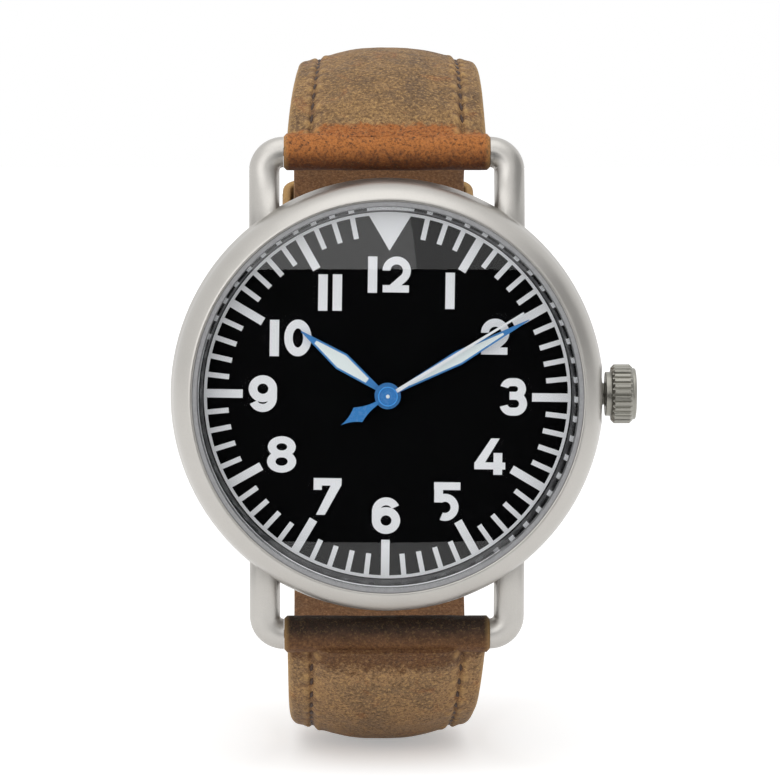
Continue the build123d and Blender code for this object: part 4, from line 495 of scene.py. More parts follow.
def worn_leather(name, tones, rust=0.0, painted_shade=None, flecks=1.0):
    """Distressed leather: clouded tones, rubbed grain, dark pores and darker seams, lighter rims that on the puckers
    are a painted highlight, and painted shade by height where given.
    """
    graph = Graph(name)
    patches = graph.noise(210, 5.0, 0.6, None, 0.5)
    mottle = graph.noise(1100, 5.0, 0.7, None, 0.3)
    grain = graph.noise(3400, 4.0, 0.75)
    fine = graph.noise(7400, 3.0, 0.75)
    warm = graph.noise(330, 4.0, 0.6, None, 0.8)
    pores = graph.cells(2300, "F1", graph.shaken(900, 0.0005))
    creases = graph.cells(700, "DISTANCE_TO_EDGE", graph.shaken(1300, 0.0011))
    tone = graph.mix(graph.ramp(patches, 0.34, 0.62), tones["dark"], tones["middle"])
    tone = graph.mix(graph.ramp(warm, 0.56, 0.76) * 0.4, tone, tones["rust"])
    fold = graph.attribute("fold").math("MAXIMUM", rust)
    edge_of_fold = graph.ramp(fold + (mottle - 0.5) * 0.9, 0.3, 0.6)
    tone = graph.mix(edge_of_fold * 0.92, tone, tones["fold"])
    # Painted shade: the tone runs from one colour to another by height, standing in for how light falls on the rolls
    if painted_shade:
        low, high, low_shade, high_shade = painted_shade
        height = graph.axes()[2] + (mottle - 0.5) * 2.4 * MM
        tone = graph.mix(graph.ramp(height, low * MM, high * MM), low_shade, high_shade)
    cloud = graph.mix(graph.ramp(patches, 0.3, 0.6), tones["seam"], tones["dusk"])
    tone = graph.mix(graph.attribute("seam") * graph.ramp(mottle, 0.36, 0.62, 0.75, 0.15), tone, cloud)
    spots = graph.ramp(pores, 0.2, 0.4, 1.0, 0.0) * graph.ramp(mottle, 0.38, 0.58, 1.0, 0.12)
    tone = graph.mix(spots * (0.25 + 0.6 * edge_of_fold), tone, tones["pore"])
    tone = graph.mix(graph.ramp(grain, 0.38, 0.5, 0.62, 0.0), tone, tones["pore"])
    specks = graph.ramp(grain, 0.52, 0.64, 0.0, 0.72 * flecks) * (1 - edge_of_fold * 0.65)
    tone = graph.mix(specks, tone, tones["light"])
    tone = graph.mix(graph.ramp(fine, 0.38, 0.49, 0.42, 0.0), tone, tones["pore"])
    # Rim value lightens: rubbed edges, and on the padded straps a painted highlight on the raised puckers
    tone = graph.mix(graph.attribute("rim") * 0.6, tone, tones["light"])
    crack = graph.ramp(creases, 0.0, 0.04, 1.0, 0.0) * graph.ramp(patches, 0.45, 0.6)
    tone = graph.mix(crack * 0.22, tone, tones["pore"])
    rough = graph.ramp(mottle, 0.3, 0.7, 0.58, 0.78)
    relief = graph.bump(mottle, 0.09)
    relief = graph.bump(grain, 0.06, 1.0, relief)
    relief = graph.bump(graph.ramp(pores, 0.05, 0.3), 0.03, 1.0, relief)
    relief = graph.bump(graph.ramp(creases, 0.0, 0.06), 0.03, 0.6, relief)
    return graph.surface(tone, rough, 0.0, relief, 0.3)


def waxed_thread(name, base):
    """Twisted waxed thread."""
    graph = Graph(name)
    twist = graph.noise(5200, 3.0, 0.7)
    shade = graph.mix(graph.ramp(twist, 0.3, 0.7), toned(base, 0.5), toned(base, 1.3))
    return graph.surface(shade, graph.ramp(twist, 0.3, 0.7, 0.5, 0.7), 0.0, graph.bump(twist, 0.03))


def second_hand_paint(name, white, blue, clockwise):
    """White blade with blue hub and counterweight."""
    graph = Graph(name)
    x, _, z = graph.axes()
    along = x * math.sin(clockwise) + z * math.cos(clockwise)
    skin = graph.noise(2500, 2.0, 0.5)
    shade = graph.mix(along > HUB_RADIUS * MM, blue, white)
    shade = graph.mix(graph.ramp(skin, 0.4, 0.8) * 0.08, shade, (0.02, 0.03, 0.05))
    return graph.surface(shade, graph.ramp(skin, 0.3, 0.7, 0.22, 0.3), 0.0, graph.bump(skin, 0.002))


def leather_tones(finishes):
    """Tones of the worn leather by name."""
    return {
        "middle": finishes.leather,
        "dark": finishes.leather_dark,
        "light": finishes.leather_light,
        "rust": finishes.leather_rust,
        "fold": finishes.leather_rust,
        "seam": tint(96, 76, 68),
        "dusk": tint(124, 84, 58),
        "pore": tint(62, 38, 22),
    }


# Mesh helpers, in millimetres


def new_mesh(seam=False):
    """Empty mesh, with the leather's point values if asked."""
    mesh = bmesh.new()
    if seam:
        for name in LEATHER_VALUES:
            mesh.verts.layers.float.new(name)
    return mesh


def new_object(mesh, name):
    """Object in the scene made of a finished mesh."""
    data = bpy.data.meshes.new(name)
    mesh.to_mesh(data)
    mesh.free()
    piece = bpy.data.objects.new(name, data)
    bpy.context.scene.collection.objects.link(piece)
    return piece


def settle(mesh, name, material, body, nodes=(), sharp=32.0, loose=False):
    """Turn a mesh in millimetres into a finished piece that rides on a body."""
    if not loose:
        bmesh.ops.remove_doubles(mesh, verts=mesh.verts, dist=MERGE_DISTANCE)
        bmesh.ops.recalc_face_normals(mesh, faces=mesh.faces)
        bmesh.ops.scale(mesh, vec=(MM, MM, MM), verts=mesh.verts)
    piece = new_object(mesh, name)
    piece.data.shade_smooth()
    piece.data.set_sharp_from_angle(angle=math.radians(sharp))
    piece.data.materials.append(material)
    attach(piece, body)
    if nodes:
        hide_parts(*nodes)
    return piece


def merged_copy(node, name, material, body, sharp=32.0):
    """Copy of a CAD node with its points merged, for smooth shading."""
    mesh = bmesh.new()
    mesh.from_mesh(frame["nodes"][node].data)
    bmesh.ops.remove_doubles(mesh, verts=mesh.verts, dist=MERGE_DISTANCE * MM)
    return settle(mesh, name, material, body, (node,), sharp, loose=True)


def turned(mesh, profile, steps, centre=(0.0, 0.0, 0.0), axis=DIAL_AXIS):
    """Turn a closed chain of points about an axis."""
    points = [mesh.verts.new(point) for point in profile]
    geometry = points + [mesh.edges.new(pair) for pair in zip(points, points[1:] + points[:1])]
    bmesh.ops.spin(mesh, geom=geometry, cent=centre, axis=axis, angle=FULL_TURN, steps=steps, use_merge=True)
    bmesh.ops.delete(mesh, geom=[edge for edge in mesh.edges if not edge.link_faces], context="EDGES")


def turned_piece(name, chain, material, body, nodes, steps, sharp=32.0):
    """Piece turned about the dial's axis from pairs of radius and height over the case back."""
    mesh = new_mesh()
    turned(mesh, [(radius, -height, 0.0) for radius, height in chain], steps)
    settle(mesh, name, material, body, nodes, sharp)


def arc_between(first, middle, last, count):
    """Points of the arc through three flat points."""
    (ax, ay), (bx, by), (cx, cy) = first, middle, last
    cross = 2 * (ax * (by - cy) + bx * (cy - ay) + cx * (ay - by))
    a, b, c = ax * ax + ay * ay, bx * bx + by * by, cx * cx + cy * cy
    x = (a * (by - cy) + b * (cy - ay) + c * (ay - by)) / cross
    y = (a * (cx - bx) + b * (ax - cx) + c * (bx - ax)) / cross
    radius = math.hypot(ax - x, ay - y)
    start, end = math.atan2(ay - y, ax - x), math.atan2(cy - y, cx - x)
    turns = [start + (end - start) * index / count for index in range(count + 1)]
    return [(x + radius * math.cos(turn), y + radius * math.sin(turn)) for turn in turns]


def wrapped(mesh, round_steps, long_steps, place, close_ends=True):
    """Bend a grid into a tube: place(index round, index along) gives point, seam, rim and fold."""
    grid = bmesh.ops.create_grid(mesh, x_segments=round_steps, y_segments=long_steps, size=1.0)["verts"]
    layers = [mesh.verts.layers.float.get(name) for name in LEATHER_VALUES]
    for vert in grid:
        index = round((vert.co.x + 1) / 2 * round_steps)
        station = round((vert.co.y + 1) / 2 * long_steps)
        vert.co, *values = place(index % round_steps, station)
        for layer, value in zip(layers, values):
            if layer:
                vert[layer] = value
    bmesh.ops.remove_doubles(mesh, verts=grid, dist=MERGE_DISTANCE)
    if close_ends:
        open_edges = [edge for edge in mesh.edges if edge.is_boundary]
        bmesh.ops.holes_fill(mesh, edges=open_edges, sides=0)


def eased(value, start, end):
    """Share from 0 at the start to 1 at the end, eased at both."""
    share = min(max((value - start) / (end - start), 0.0), 1.0)
    return share * share * (3 - 2 * share)


def blend(share, start, end):
    """Value between two values."""
    return start + (end - start) * share


# Head


def make_case(finishes):
    """Case with its lugs, and the screwed back."""
    steel = finishes.steel
    merged_copy("case_middle", "case_and_wire_lugs", blasted_steel("blasted_case_steel", steel), "case")
    back = turned_steel("turned_back_steel", steel, 0.24)
    merged_copy("case_back", "screwed_back", back, "case", sharp=12.0)


def make_bezel(sizes, finishes):
    """Domed bezel ring with a fine lip round its mouth."""
    foot, shoulder = sizes.bezel_foot_radius / MM, sizes.bezel_shoulder_radius / MM
    top, mouth = sizes.bezel_top_radius / MM, sizes.bezel_mouth_radius / MM
    rim = 10.45
    chain = arc_between((foot, 7.0), (shoulder, 9.2), (top, rim), 28)
    chain += [(mouth + 0.1, rim), (mouth + 0.02, 10.42), (mouth, 10.34), (mouth, 9.2), (18.1, 9.2), (18.1, 8.9)]
    chain += [(18.35, 8.9), (18.35, 6.1), (19.15, 6.1), (19.15, 6.9), (foot - 0.08, 6.9), (foot - 0.02, 6.94)]
    steel = blasted_steel("blasted_bezel_steel", finishes.steel)
    turned_piece("domed_bezel", chain, steel, "case", ("bezel",), 240, 40)


def make_glass(sizes, finishes):
    """Domed crystal in its grey ring."""
    radius, low, edge, dome_steps = 18.37, 9.45, 10.45, 40
    rise = sizes.crystal_rise / MM
    sphere = (radius * radius + rise * rise) / (2 * rise)
    chain = []
    for index in range(dome_steps + 1):
        distance = radius * index / dome_steps
        height = edge + rise - sphere + math.sqrt(sphere * sphere - distance * distance)
        chain.append((distance, min(height, edge + rise - 0.021)))
    chain += [(radius, low), (0.0, low)]
    turned_piece("domed_crystal", chain, clear_glass("crystal_glass"), "case", ("crystal",), 192, 40)
    mouth, inner, lip = sizes.bezel_mouth_radius / MM, 18.1, 10.24
    ring = [(inner, 9.2), (mouth, 9.2), (mouth, lip), (mouth - 0.06, lip + 0.06), (radius + 0.06, lip + 0.06)]
    ring += [(radius, lip), (radius, low), (inner, low)]
    # Lacquer black and print white serve the lip's painted reflection and painted highlight
    tones = (finishes.gasket, finishes.lacquer, finishes.printing)
    grey = gasket_ring("gasket_polymer", *tones, bpy.context.scene.watch_dial.turn)
    turned_piece("crystal_ring", ring, grey, "case", ("crystal_gasket",), 192)


def make_rehaut(sizes, finishes):
    """Steep black ring between dial and crystal; its polish is a painted reflection of the minute bars."""
    foot, top = sizes.rehaut_foot_radius / MM, sizes.rehaut_top_radius / MM
    chain = [(foot, 6.44), (18.3, 6.44), (18.3, 8.88), (18.09, 8.88), (18.09, 9.42), (top, 9.42)]
    tones = (finishes.lacquer, finishes.printing)
    # Print white serves as the colour of the painted reflected dashes
    gloss = rehaut_gloss("rehaut_gloss", *tones, bpy.context.scene.watch_dial.turn)
    turned_piece("rehaut_slope", chain, gloss, "case", ("rehaut_ring",), 240)


def crown_turned(mesh, chain, steps):
    """Turn pairs of radius and place along the crown's axis."""
    turned(mesh, [(x, CROWN_AXIS_Y + radius, 0.0) for radius, x in chain], steps, (0, CROWN_AXIS_Y, 0), SIDE_AXIS)


def make_crown(sizes, finishes):
    """Knurled crown with flange and cap, and its grooved neck."""
    outer, depth = sizes.crown_radius / MM, sizes.crown_ridge_depth / MM
    start, end, slope, foot = 21.75, 23.85, 0.3, 2.3
    insets = (0.0, 0.0, 0.1, 0.2, slope)
    stations = [start + inset for inset in insets] + [end - inset for inset in reversed(insets)]
    ridge = (0.0, 0.35, 0.85, 1.0, 1.0, 1.0, 1.0, 1.0, 0.85, 0.35, 0.0, 0.0)
    round_steps = sizes.crown_ridges * len(ridge)

    def ridge_point(index, station):
        """Point on the ridges, which slope at both ends and stand on a plain foot."""
        x = stations[station]
        reach = outer - depth + depth * ridge[index % len(ridge)]
        limit = outer - slope + min(x - start, end - x, slope)
        radius = foot if station in (0, len(stations) - 1) else min(reach, limit)
        turn = FULL_TURN * index / round_steps
        return (x, CROWN_AXIS_Y + radius * math.cos(turn), radius * math.sin(turn)), 0, 0, 0

    mesh = new_mesh()
    wrapped(mesh, round_steps, len(stations) - 1, ridge_point)
    chain = [(1.3, 21.2), (2.08, 21.2), (2.15, 21.27), (2.15, 21.82), (2.4, 21.82), (2.4, 23.8), (2.5, 23.8)]
    chain += [(2.5, 24.0), (2.47, 24.08), (2.38, 24.15), (2.1, 24.2), (1.2, 24.24), (0.0, 24.25), (0.0, 23.05)]
    chain += [(1.3, 23.05)]
    crown_turned(mesh, chain, 96)
    steel = drawn_metal("satin_crown_steel", tint(158, 156, 148), 0.3, (5000, 16000, 16000))
    settle(mesh, "knurled_crown", steel, "crown", ("crown",), 24)
    bore, outer, deep = 0.72, 1.2, 1.04
    chain = [(bore, 18.3), (outer, 18.3)]
    for groove in (20.62, 20.98):
        chain += [(outer, groove - 0.06), (deep, groove), (deep, groove + 0.1), (outer, groove + 0.16)]
    chain += [(outer, 22.6), (bore, 22.6)]
    mesh = new_mesh()
    crown_turned(mesh, chain, 64)
    neck = drawn_metal("crown_neck_steel", finishes.neck, 0.3)
    settle(mesh, "grooved_neck", neck, "case", ("crown_tube",), 24)


# Dial printing


class Pen:
    """Flat nib that draws strokes as faces on the dial's plane, each in a layer of its own."""

    def __init__(self, mesh, width, place=None, turn=0.0):
        self.mesh = mesh
        self.width = width
        self.place = place
        self.turn = turn
        self.layer = 0
        self.made = []

    def point(self, x, z):
        """New point in the stroke's layer."""
        vert = self.mesh.verts.new((x, 0, z))
        vert[self.mesh.verts.layers.int["layer"]] = self.layer
        self.made.append(vert)
        return vert

    def stroke(self, x, z, heading, width=None):
        """Set the nib down, heading in degrees from three o'clock."""
        half, turn = (width or self.width) / 2, math.radians(heading)
        side_x, side_z = -math.sin(turn) * half, math.cos(turn) * half
        self.layer += 1
        self.edge = self.mesh.edges.new([self.point(x + side_x, z + side_z), self.point(x - side_x, z - side_z)])
        self.here = Vector((x, 0, z))
        self.heading = heading
        return self

    def line(self, length):
        """Draw a straight run."""
        made = bmesh.ops.extrude_edge_only(self.mesh, edges=[self.edge])["geom"]
        ends = [item for item in made if isinstance(item, bmesh.types.BMVert)]
        turn = math.radians(self.heading)
        step = Vector((math.cos(turn), 0, math.sin(turn))) * length
        bmesh.ops.translate(self.mesh, vec=step, verts=ends)
        edges = (item for item in made if isinstance(item, bmesh.types.BMEdge))
        self.edge = next(edge for edge in edges if set(edge.verts) == set(ends))
        self.made += ends
        self.here = self.here + step
        return self

    def arc(self, radius, degrees, steps=14):
        """Draw a bend, to the left for a positive angle."""
        left = 1 if degrees > 0 else -1
        turn = math.radians(self.heading)
        centre = self.here + Vector((-math.sin(turn), 0, math.cos(turn))) * radius * left
        before = set(self.mesh.verts)
        nib = [self.edge, *self.edge.verts]
        axis, angle = (0, -1, 0), math.radians(degrees)
        bent = bmesh.ops.spin(self.mesh, geom=nib, cent=centre, axis=axis, angle=angle, steps=steps)["geom_last"]
        self.edge = next(item for item in bent if isinstance(item, bmesh.types.BMEdge))
        self.made += [vert for vert in self.mesh.verts if vert not in before]
        self.here = centre + Matrix.Rotation(angle, 3, axis) @ (self.here - centre)
        self.heading += degrees
        return self

    def bar(self, x, z, end_x, end_z, width=None):
        """Draw a straight bar between two points."""
        heading = math.degrees(math.atan2(end_z - z, end_x - x))
        return self.stroke(x, z, heading, width).line(math.hypot(end_x - x, end_z - z))

    def plate(self, *corners):
        """Draw a flat shape between its corners."""
        self.layer += 1
        self.mesh.faces.new([self.point(*corner) for corner in corners])
        return self

    def oval(self, x, z, outer, inner, steps=48):
        """Draw an oval ring from its outer and inner half axes."""
        rings = []
        self.layer += 1
        layer = self.mesh.verts.layers.int["layer"]
        for half_width, half_height in (outer, inner):
            matrix = Matrix.Translation((x, 0, z)) @ Matrix.Rotation(math.pi / 2, 4, "X")
            ring = bmesh.ops.create_circle(self.mesh, segments=steps, radius=1.0, matrix=matrix)["verts"]
            centre = Matrix.Translation((-x, 0, -z))
            bmesh.ops.scale(self.mesh, vec=(half_width, 1, half_height), space=centre, verts=ring)
            for vert in ring:
                vert[layer] = self.layer
            rings.append(ring)
            self.made += ring
        edges = {edge for ring in rings for vert in ring for edge in vert.link_edges}
        bmesh.ops.bridge_loops(self.mesh, edges=list(edges))
        return self

    def lift(self):
        """Turn the finished figure about its middle and set it in its place."""
        x, z, width, height = self.place
        matrix = Matrix.Translation((x, 0, z)) @ Matrix.Rotation(self.turn, 4, DIAL_AXIS)
        matrix = matrix @ Matrix.Translation((-width / 2, 0, -height / 2))
        bmesh.ops.transform(self.mesh, matrix=matrix, verts=list(set(self.made)))


def draw_one(pen):
    """Plain upright."""
    pen.bar(0.45, 0, 0.45, 3.52, 0.9)


def draw_two(pen):
    """Bend that runs down to a foot."""
    pen.stroke(0.39, 2.12, 90).arc(0.985, -228, 26).line(1.55)
    pen.bar(0.04, 0.36, 2.58, 0.36, 0.7)
    pen.plate((0.04, 0.01), (1.2, 0.01), (1.3, 1.2), (0.62, 0.63), (0.04, 0.11))


def draw_three(pen):
    """Two bends that meet in the middle."""
    pen.stroke(0.5, 2.72, 75).arc(0.66, -75, 12).line(0.4).arc(0.66, -180, 24).line(0.5)
    pen.stroke(1.0, 1.89, 0).line(0.55).arc(0.77, -180, 24).line(0.35).arc(0.77, -75, 12)


def draw_four(pen):
    """Slope, bar and upright."""
    pen.plate((0.0, 0.52), (3.0, 0.52), (3.0, 1.2), (0.0, 1.2))
    pen.plate((1.85, 0.0), (2.7, 0.0), (2.7, 2.12), (1.85, 2.12))
    pen.plate((0.0, 1.1), (0.98, 1.1), (2.42, 3.53), (1.6, 3.53))


def draw_five(pen):
    """Bar, upright and bowl."""
    pen.bar(0.05, 3.19, 2.6, 3.19, 0.75)
    pen.bar(0.5, 1.6, 0.5, 3.3, 0.84)
    pen.stroke(0.56, 1.86, 38).arc(0.93, -240, 28)


def draw_six(pen):
    """Bowl with a bent stem."""
    pen.oval(1.37, 1.3, (1.37, 1.3), (0.53, 0.5))
    pen.stroke(0.385, 1.25, 90).line(0.93).arc(0.985, -154, 22)


def draw_seven(pen):
    """Bar with a serif and a slope."""
    pen.bar(0.0, 3.2, 2.7, 3.2, 0.72)
    pen.bar(0.4, 2.42, 0.4, 3.3, 0.8)
    pen.plate((0.27, 0.0), (1.12, 0.0), (2.7, 2.9), (1.68, 2.9))


def draw_eight(pen):
    """Two ovals."""
    pen.oval(1.41, 1.08, (1.41, 1.08), (0.59, 0.41))
    pen.oval(1.41, 2.5, (1.35, 1.03), (0.52, 0.35))


def draw_nine(pen):
    """Six turned upside down."""
    pen.oval(1.37, 2.26, (1.37, 1.3), (0.53, 0.5))
    pen.stroke(2.355, 2.31, 270).line(0.93).arc(0.985, -154, 22)


def draw_zero(pen):
    """Tall oval."""
    pen.oval(1.32, 1.78, (1.32, 1.78), (0.5, 0.93))


FIGURES = (
    (draw_one, -1.44, 11.70, 0.9, 3.52),
    (draw_two, 0.90, 11.72, 2.78, 3.52),
    (draw_one, 6.05, 10.12, 0.9, 3.52),
    (draw_two, 10.34, 5.70, 2.6, 3.52),
    (draw_three, 12.15, -0.18, 2.68, 3.5),
    (draw_four, 9.92, -5.94, 3.0, 3.52),
    (draw_five, 5.77, -10.22, 2.65, 3.54),
    (draw_six, -0.14, -11.65, 2.74, 3.56),
    (draw_seven, -5.82, -9.80, 2.70, 3.54),
    (draw_eight, -10.24, -5.70, 2.82, 3.53),
    (draw_nine, -12.06, 0.19, 2.74, 3.56),
    (draw_one, -10.93, 5.58, 0.9, 3.52),
    (draw_zero, -8.66, 5.58, 2.64, 3.56),
    (draw_one, -6.26, 9.97, 0.86, 3.52),
    (draw_one, -4.87, 9.97, 0.86, 3.52),
)


def make_dial(sizes, finishes):
    """Black dial and its white ring, bars, triangle and numerals."""
    lacquer = glossy_paint("dial_lacquer", finishes.lacquer, 0.4, 0.3, 0.04)
    finish_node("dial", lacquer)
    mesh = new_mesh()
    layer = mesh.verts.layers.int.new("layer")
    outer, width = sizes.ring_radius / MM, sizes.ring_width / MM
    points = [mesh.verts.new((radius, 0, 0)) for radius in (outer - width, outer)]
    edge = mesh.edges.new(points)
    ring = [*points, edge]
    bmesh.ops.spin(mesh, geom=ring, cent=(0, 0, 0), axis=DIAL_AXIS, angle=FULL_TURN, steps=240, use_merge=True)
    reach = outer - width / 2
    for minute in range(60):
        if minute in (59, 0, 1):
            continue
        hour = minute % 5 == 0
        start = (sizes.hour_bar_start if hour else sizes.minute_bar_start) / MM
        breadth = (sizes.hour_bar_width if hour else sizes.minute_bar_width) / MM
        way = math.radians(90 - 6 * minute) - sizes.turn
        pen = Pen(mesh, breadth)
        pen.bar(start * math.cos(way), start * math.sin(way), reach * math.cos(way), reach * math.sin(way))
    half, apex = sizes.triangle_half / MM, sizes.triangle_apex / MM
    Pen(mesh, width, (0, 0, 0, 0), sizes.turn).plate((0, apex), (half, outer - 0.22), (-half, outer - 0.22)).lift()
    for draw, x, z, wide, high in FIGURES:
        pen = Pen(mesh, sizes.stroke / MM, (x, z, wide, high), sizes.turn)
        draw(pen)
        pen.lift()
    raised = bmesh.ops.extrude_face_region(mesh, geom=list(mesh.faces))["geom"]
    tops = [item for item in raised if isinstance(item, bmesh.types.BMVert)]
    for vert in tops:
        vert.co.y = -sizes.relief / MM - LAYER_HEIGHT * vert[layer]
    bmesh.ops.translate(mesh, vec=(0, -DIAL_TOP, 0), verts=mesh.verts)
    white = glossy_paint("dial_printing", finishes.printing, 0.4, 0.05)
    settle(mesh, "dial_printing", white, "case", ())


def make_hands(finishes):
    """Blued hands with white fillings and the white seconds hand."""
    blue = glossy_paint("blued_steel", finishes.blued, 0.26, 0.12)
    filling = glossy_paint("hand_filling", finishes.filling, 0.5, 0.04)
    for node in ("hour_hand", "minute_hand"):
        finish_node(node, blue)
        finish_node(node + "_filling", filling)
    turn = math.radians(SECONDS_ANGLE)
    seconds = second_hand_paint("seconds_paint", finishes.printing, finishes.blued, turn)
    finish_node("seconds_hand", seconds)
    pin = [(0.0, 8.2), (0.19, 8.2), (0.19, 8.34), (0.15, 8.4), (0.08, 8.43), (0.0, 8.44)]
    turned_piece("hand_pin", pin, filling, "seconds", (), 32)
    # Lighter copy of the blue: painted highlight on the hub's bevelled rim
    rim = [(0.86, 8.22), (0.96, 8.22), (0.96, 8.33), (0.92, 8.36), (0.88, 8.36), (0.84, 8.3)]
    painted_highlight_blue = glossy_paint("blued_rim", tuple(min(1.0, 1.7 * c) for c in finishes.blued), 0.2, 0.1)
    turned_piece("hub_rim", rim, painted_highlight_blue, "seconds", (), 64)


# Movement


def finish_node(node, material):
    """Give a CAD node a finish."""
    data = frame["nodes"][node].data
    data.materials.clear()
    data.materials.append(material)


def make_movement():
    """Finishes of the movement's plates, wheels and electrics."""
    brass, steel = tint(212, 178, 108), tint(186, 186, 188)
    kinds = {
        "plate_brass": drawn_metal("gilt_plate_brass", brass, 0.34, (2500, 2500, 9000)),
        "bridge_steel": drawn_metal("stamped_bridge_steel", steel, 0.34),
        "screw_steel": drawn_metal("screw_steel", tint(200, 200, 204), 0.2),
        "cell_steel": turned_steel("cell_steel", tint(206, 206, 208), 0.25),
        "coil_copper": drawn_metal("wound_copper", tint(196, 112, 58), 0.3, (4000, 4000, 22000)),
        "core_steel": drawn_metal("soft_core_steel", tint(150, 150, 154), 0.4),
        "board_green": moulded("circuit_green", tint(26, 92, 52), 0.35),
        "gear_brass": turned_steel("gilt_gear_brass", tint(218, 186, 116), 0.24),
        "gear_steel": turned_steel("cut_gear_steel", tint(190, 190, 194), 0.22),
        "magnet_grey": moulded("magnet_grey", tint(92, 92, 96), 0.4),
        "holder_plastic": moulded("holder_plastic", tint(214, 210, 200), 0.5),
        "gasket_black": moulded("gasket_rubber", tint(38, 38, 38), 0.6),
        "bar_steel": drawn_metal("bar_steel", tint(190, 190, 192), 0.25),
    }
    for part in frame["record"]["subparts"]:
        if part["material_slot"] in kinds:
            finish_node(part["node"], kinds[part["material_slot"]])


# Strap


def loop_ways(angle):
    """Directions outwards from the strap's loop and along it, 0 degrees at the back and 90 at the top."""
    turn = math.radians(angle)
    return Vector((0, math.cos(turn), math.sin(turn))), Vector((0, -math.sin(turn), math.cos(turn)))


def loop_point(angle, radius, across):
    """Point on the strap's loop."""
    turn = math.radians(angle)
    return Vector((across, LOOP_CENTRE_Y + radius * math.cos(turn), LOOP_CENTRE_Z + radius * math.sin(turn)))


def spaced(start, end, step):
    """Evenly spaced angles from start to end."""
    count = max(1, round(abs(end - start) / step))
    return [start + (end - start) * index / count for index in range(count + 1)]


def bell(offset, width):
    """Bump of height 1 where the offset is 0."""
    return math.exp(-((offset / width) ** 2))


def bulged(value, power):
    """Value from -1 to 1 pushed towards its ends, which makes a circle a rounded box."""
    return math.copysign(abs(value) ** power, value) if abs(value) > 1e-6 else 0.0


def edge_drop(inset, radius):
    """Drop of a rounded edge at a distance from it."""
    return radius - math.sqrt(max(radius * radius - max(radius - inset, 0) ** 2, 0))


def random_at(*place):
    """Smooth random value at three numbers."""
    return noise.noise(Vector(place))


class Strap:
    """What both straps share, in millimetres."""

    def __init__(self, sizes):
        for name in StrapSizes.__annotations__:
            setattr(self, name, getattr(sizes, name) / MM)
        self.seam_radius = self.loop_radius + SEAM_LIFT

    def taper(self, from_bar):
        """Width by the angle from the lug bar."""
        return max(self.width - self.waist * eased(from_bar, -12, 50) - 0.004 * from_bar, self.end_width)

    def settling(self, from_bar):
        """Inner radius by the angle from the lug bar, from the roll down onto the loop."""
        return blend(eased(from_bar, 0, LOOP_SETTLE_ANGLE), self.bar_radius - self.roll_radius, self.loop_radius)

    def seam(self, width):
        """Distance of the seam from the strap's middle."""
        return width / 2 - self.seam_margin * width / self.width

    def lean(self, angle):
        """Sideways set of the strap: to the right over the top, to the left under the case."""
        if angle > 0:
            return 0.42 * eased(angle, UPPER_BAR_ANGLE, UPPER_BAR_ANGLE - 38) * eased(angle, 42, 82)
        return -0.32 * eased(angle, LOWER_BAR_ANGLE, LOWER_BAR_ANGLE + 30) * eased(angle, -45, -85)


class ShortStrap(Strap):
    """Short strap, from the upper lug bar over the top to the buckle."""

    bar_radius = math.hypot(21.0, 24.6)
    upper_angles = spaced(UPPER_BAR_ANGLE - 0.4, -2.9, 0.6)
    lining_angles = spaced(UPPER_BAR_ANGLE - 3.4, -2.95, 1.2)
    seam_span = (UPPER_BAR_ANGLE - 7, 4)
    seed = 1.0

    def width_at(self, angle):
        """Width of the strap."""
        return self.taper(UPPER_BAR_ANGLE - angle)

    def radius_at(self, angle):
        """Inner radius of the lining."""
        return self.settling(UPPER_BAR_ANGLE - angle)

    def crown_at(self, angle):
        """Height of the padding, which ends before the keepers."""
        rise = eased(angle, UPPER_BAR_ANGLE, UPPER_BAR_ANGLE - CROWN_RISE_ANGLE)
        fall = eased(angle, SHORT_CROWN_FULL_UNTIL, SHORT_CROWN_FLAT_FROM)
        return blend(fall, blend(rise, SHORT_CROWN_START, self.short_crown), FLAT_CROWN)

    def edge_at(self, _):
        """Thickness of the upper leather outside the seams."""
        return self.edge

    def fold_at(self, angle):
        """How sharply the leather is folded."""
        return bell(angle - self.upper_angles[0], 3.2) + 0.8 * bell(angle + 3, 6)


class LongStrap(Strap):
    """Long strap, from the lower lug bar through the buckle to its tip."""

    bar_radius = math.hypot(21.0, 22.4)
    upper_angles = spaced(LOWER_BAR_ANGLE + 0.4, TIP_START_ANGLE, 0.6) + spaced(TIP_START_ANGLE + 0.35, 57.95, 0.35)
    lining_angles = spaced(LOWER_BAR_ANGLE + 3.4, 57.6, 1.2)
    seam_span = (LOWER_BAR_ANGLE + 7, 50)
    seed = 2.0

    def width_at(self, angle):
        """Width of the strap, round at its tip."""
        if angle <= STEP_START_ANGLE:
            return self.taper(angle - LOWER_BAR_ANGLE)
        share = max(min((angle - TIP_START_ANGLE) / (TAIL_END_ANGLE - TIP_START_ANGLE), 1), 0)
        return max(self.end_width * math.sqrt(max(1 - share * share, 0)), TIP_WIDTH)

    def radius_at(self, angle):
        """Inner radius of the lining: on the loop, over the buckle and outside the short strap."""
        over_buckle, tail = self.loop_radius + PASS_LIFT, self.loop_radius + TAIL_LIFT
        if angle <= STEP_START_ANGLE:
            return self.settling(angle - LOWER_BAR_ANGLE)
        if angle <= PASS_END_ANGLE:
            return blend(eased(angle, STEP_START_ANGLE, STEP_END_ANGLE), self.loop_radius, over_buckle)
        return blend(eased(angle, PASS_END_ANGLE, TAIL_START_ANGLE), over_buckle, tail)

    def crown_at(self, angle):
        """Height of the padding, which ends before the buckle."""
        rise = eased(angle, LOWER_BAR_ANGLE, LOWER_BAR_ANGLE + CROWN_RISE_ANGLE)
        fall = eased(angle, LONG_CROWN_FULL_UNTIL, LONG_CROWN_FLAT_FROM)
        return blend(fall, blend(rise, LONG_CROWN_START, self.long_crown), FLAT_CROWN)

    def edge_at(self, angle):
        """Thickness of the upper leather outside the seams, less in the tail."""
        return blend(eased(angle, LONG_CROWN_FLAT_FROM, STEP_END_ANGLE), self.edge, TAIL_EDGE)

    def fold_at(self, angle):
        """How far the painted shade near the lower lug bar reaches, carried by the fold value."""
        return 0.75 * bell(angle - self.upper_angles[0], 6)


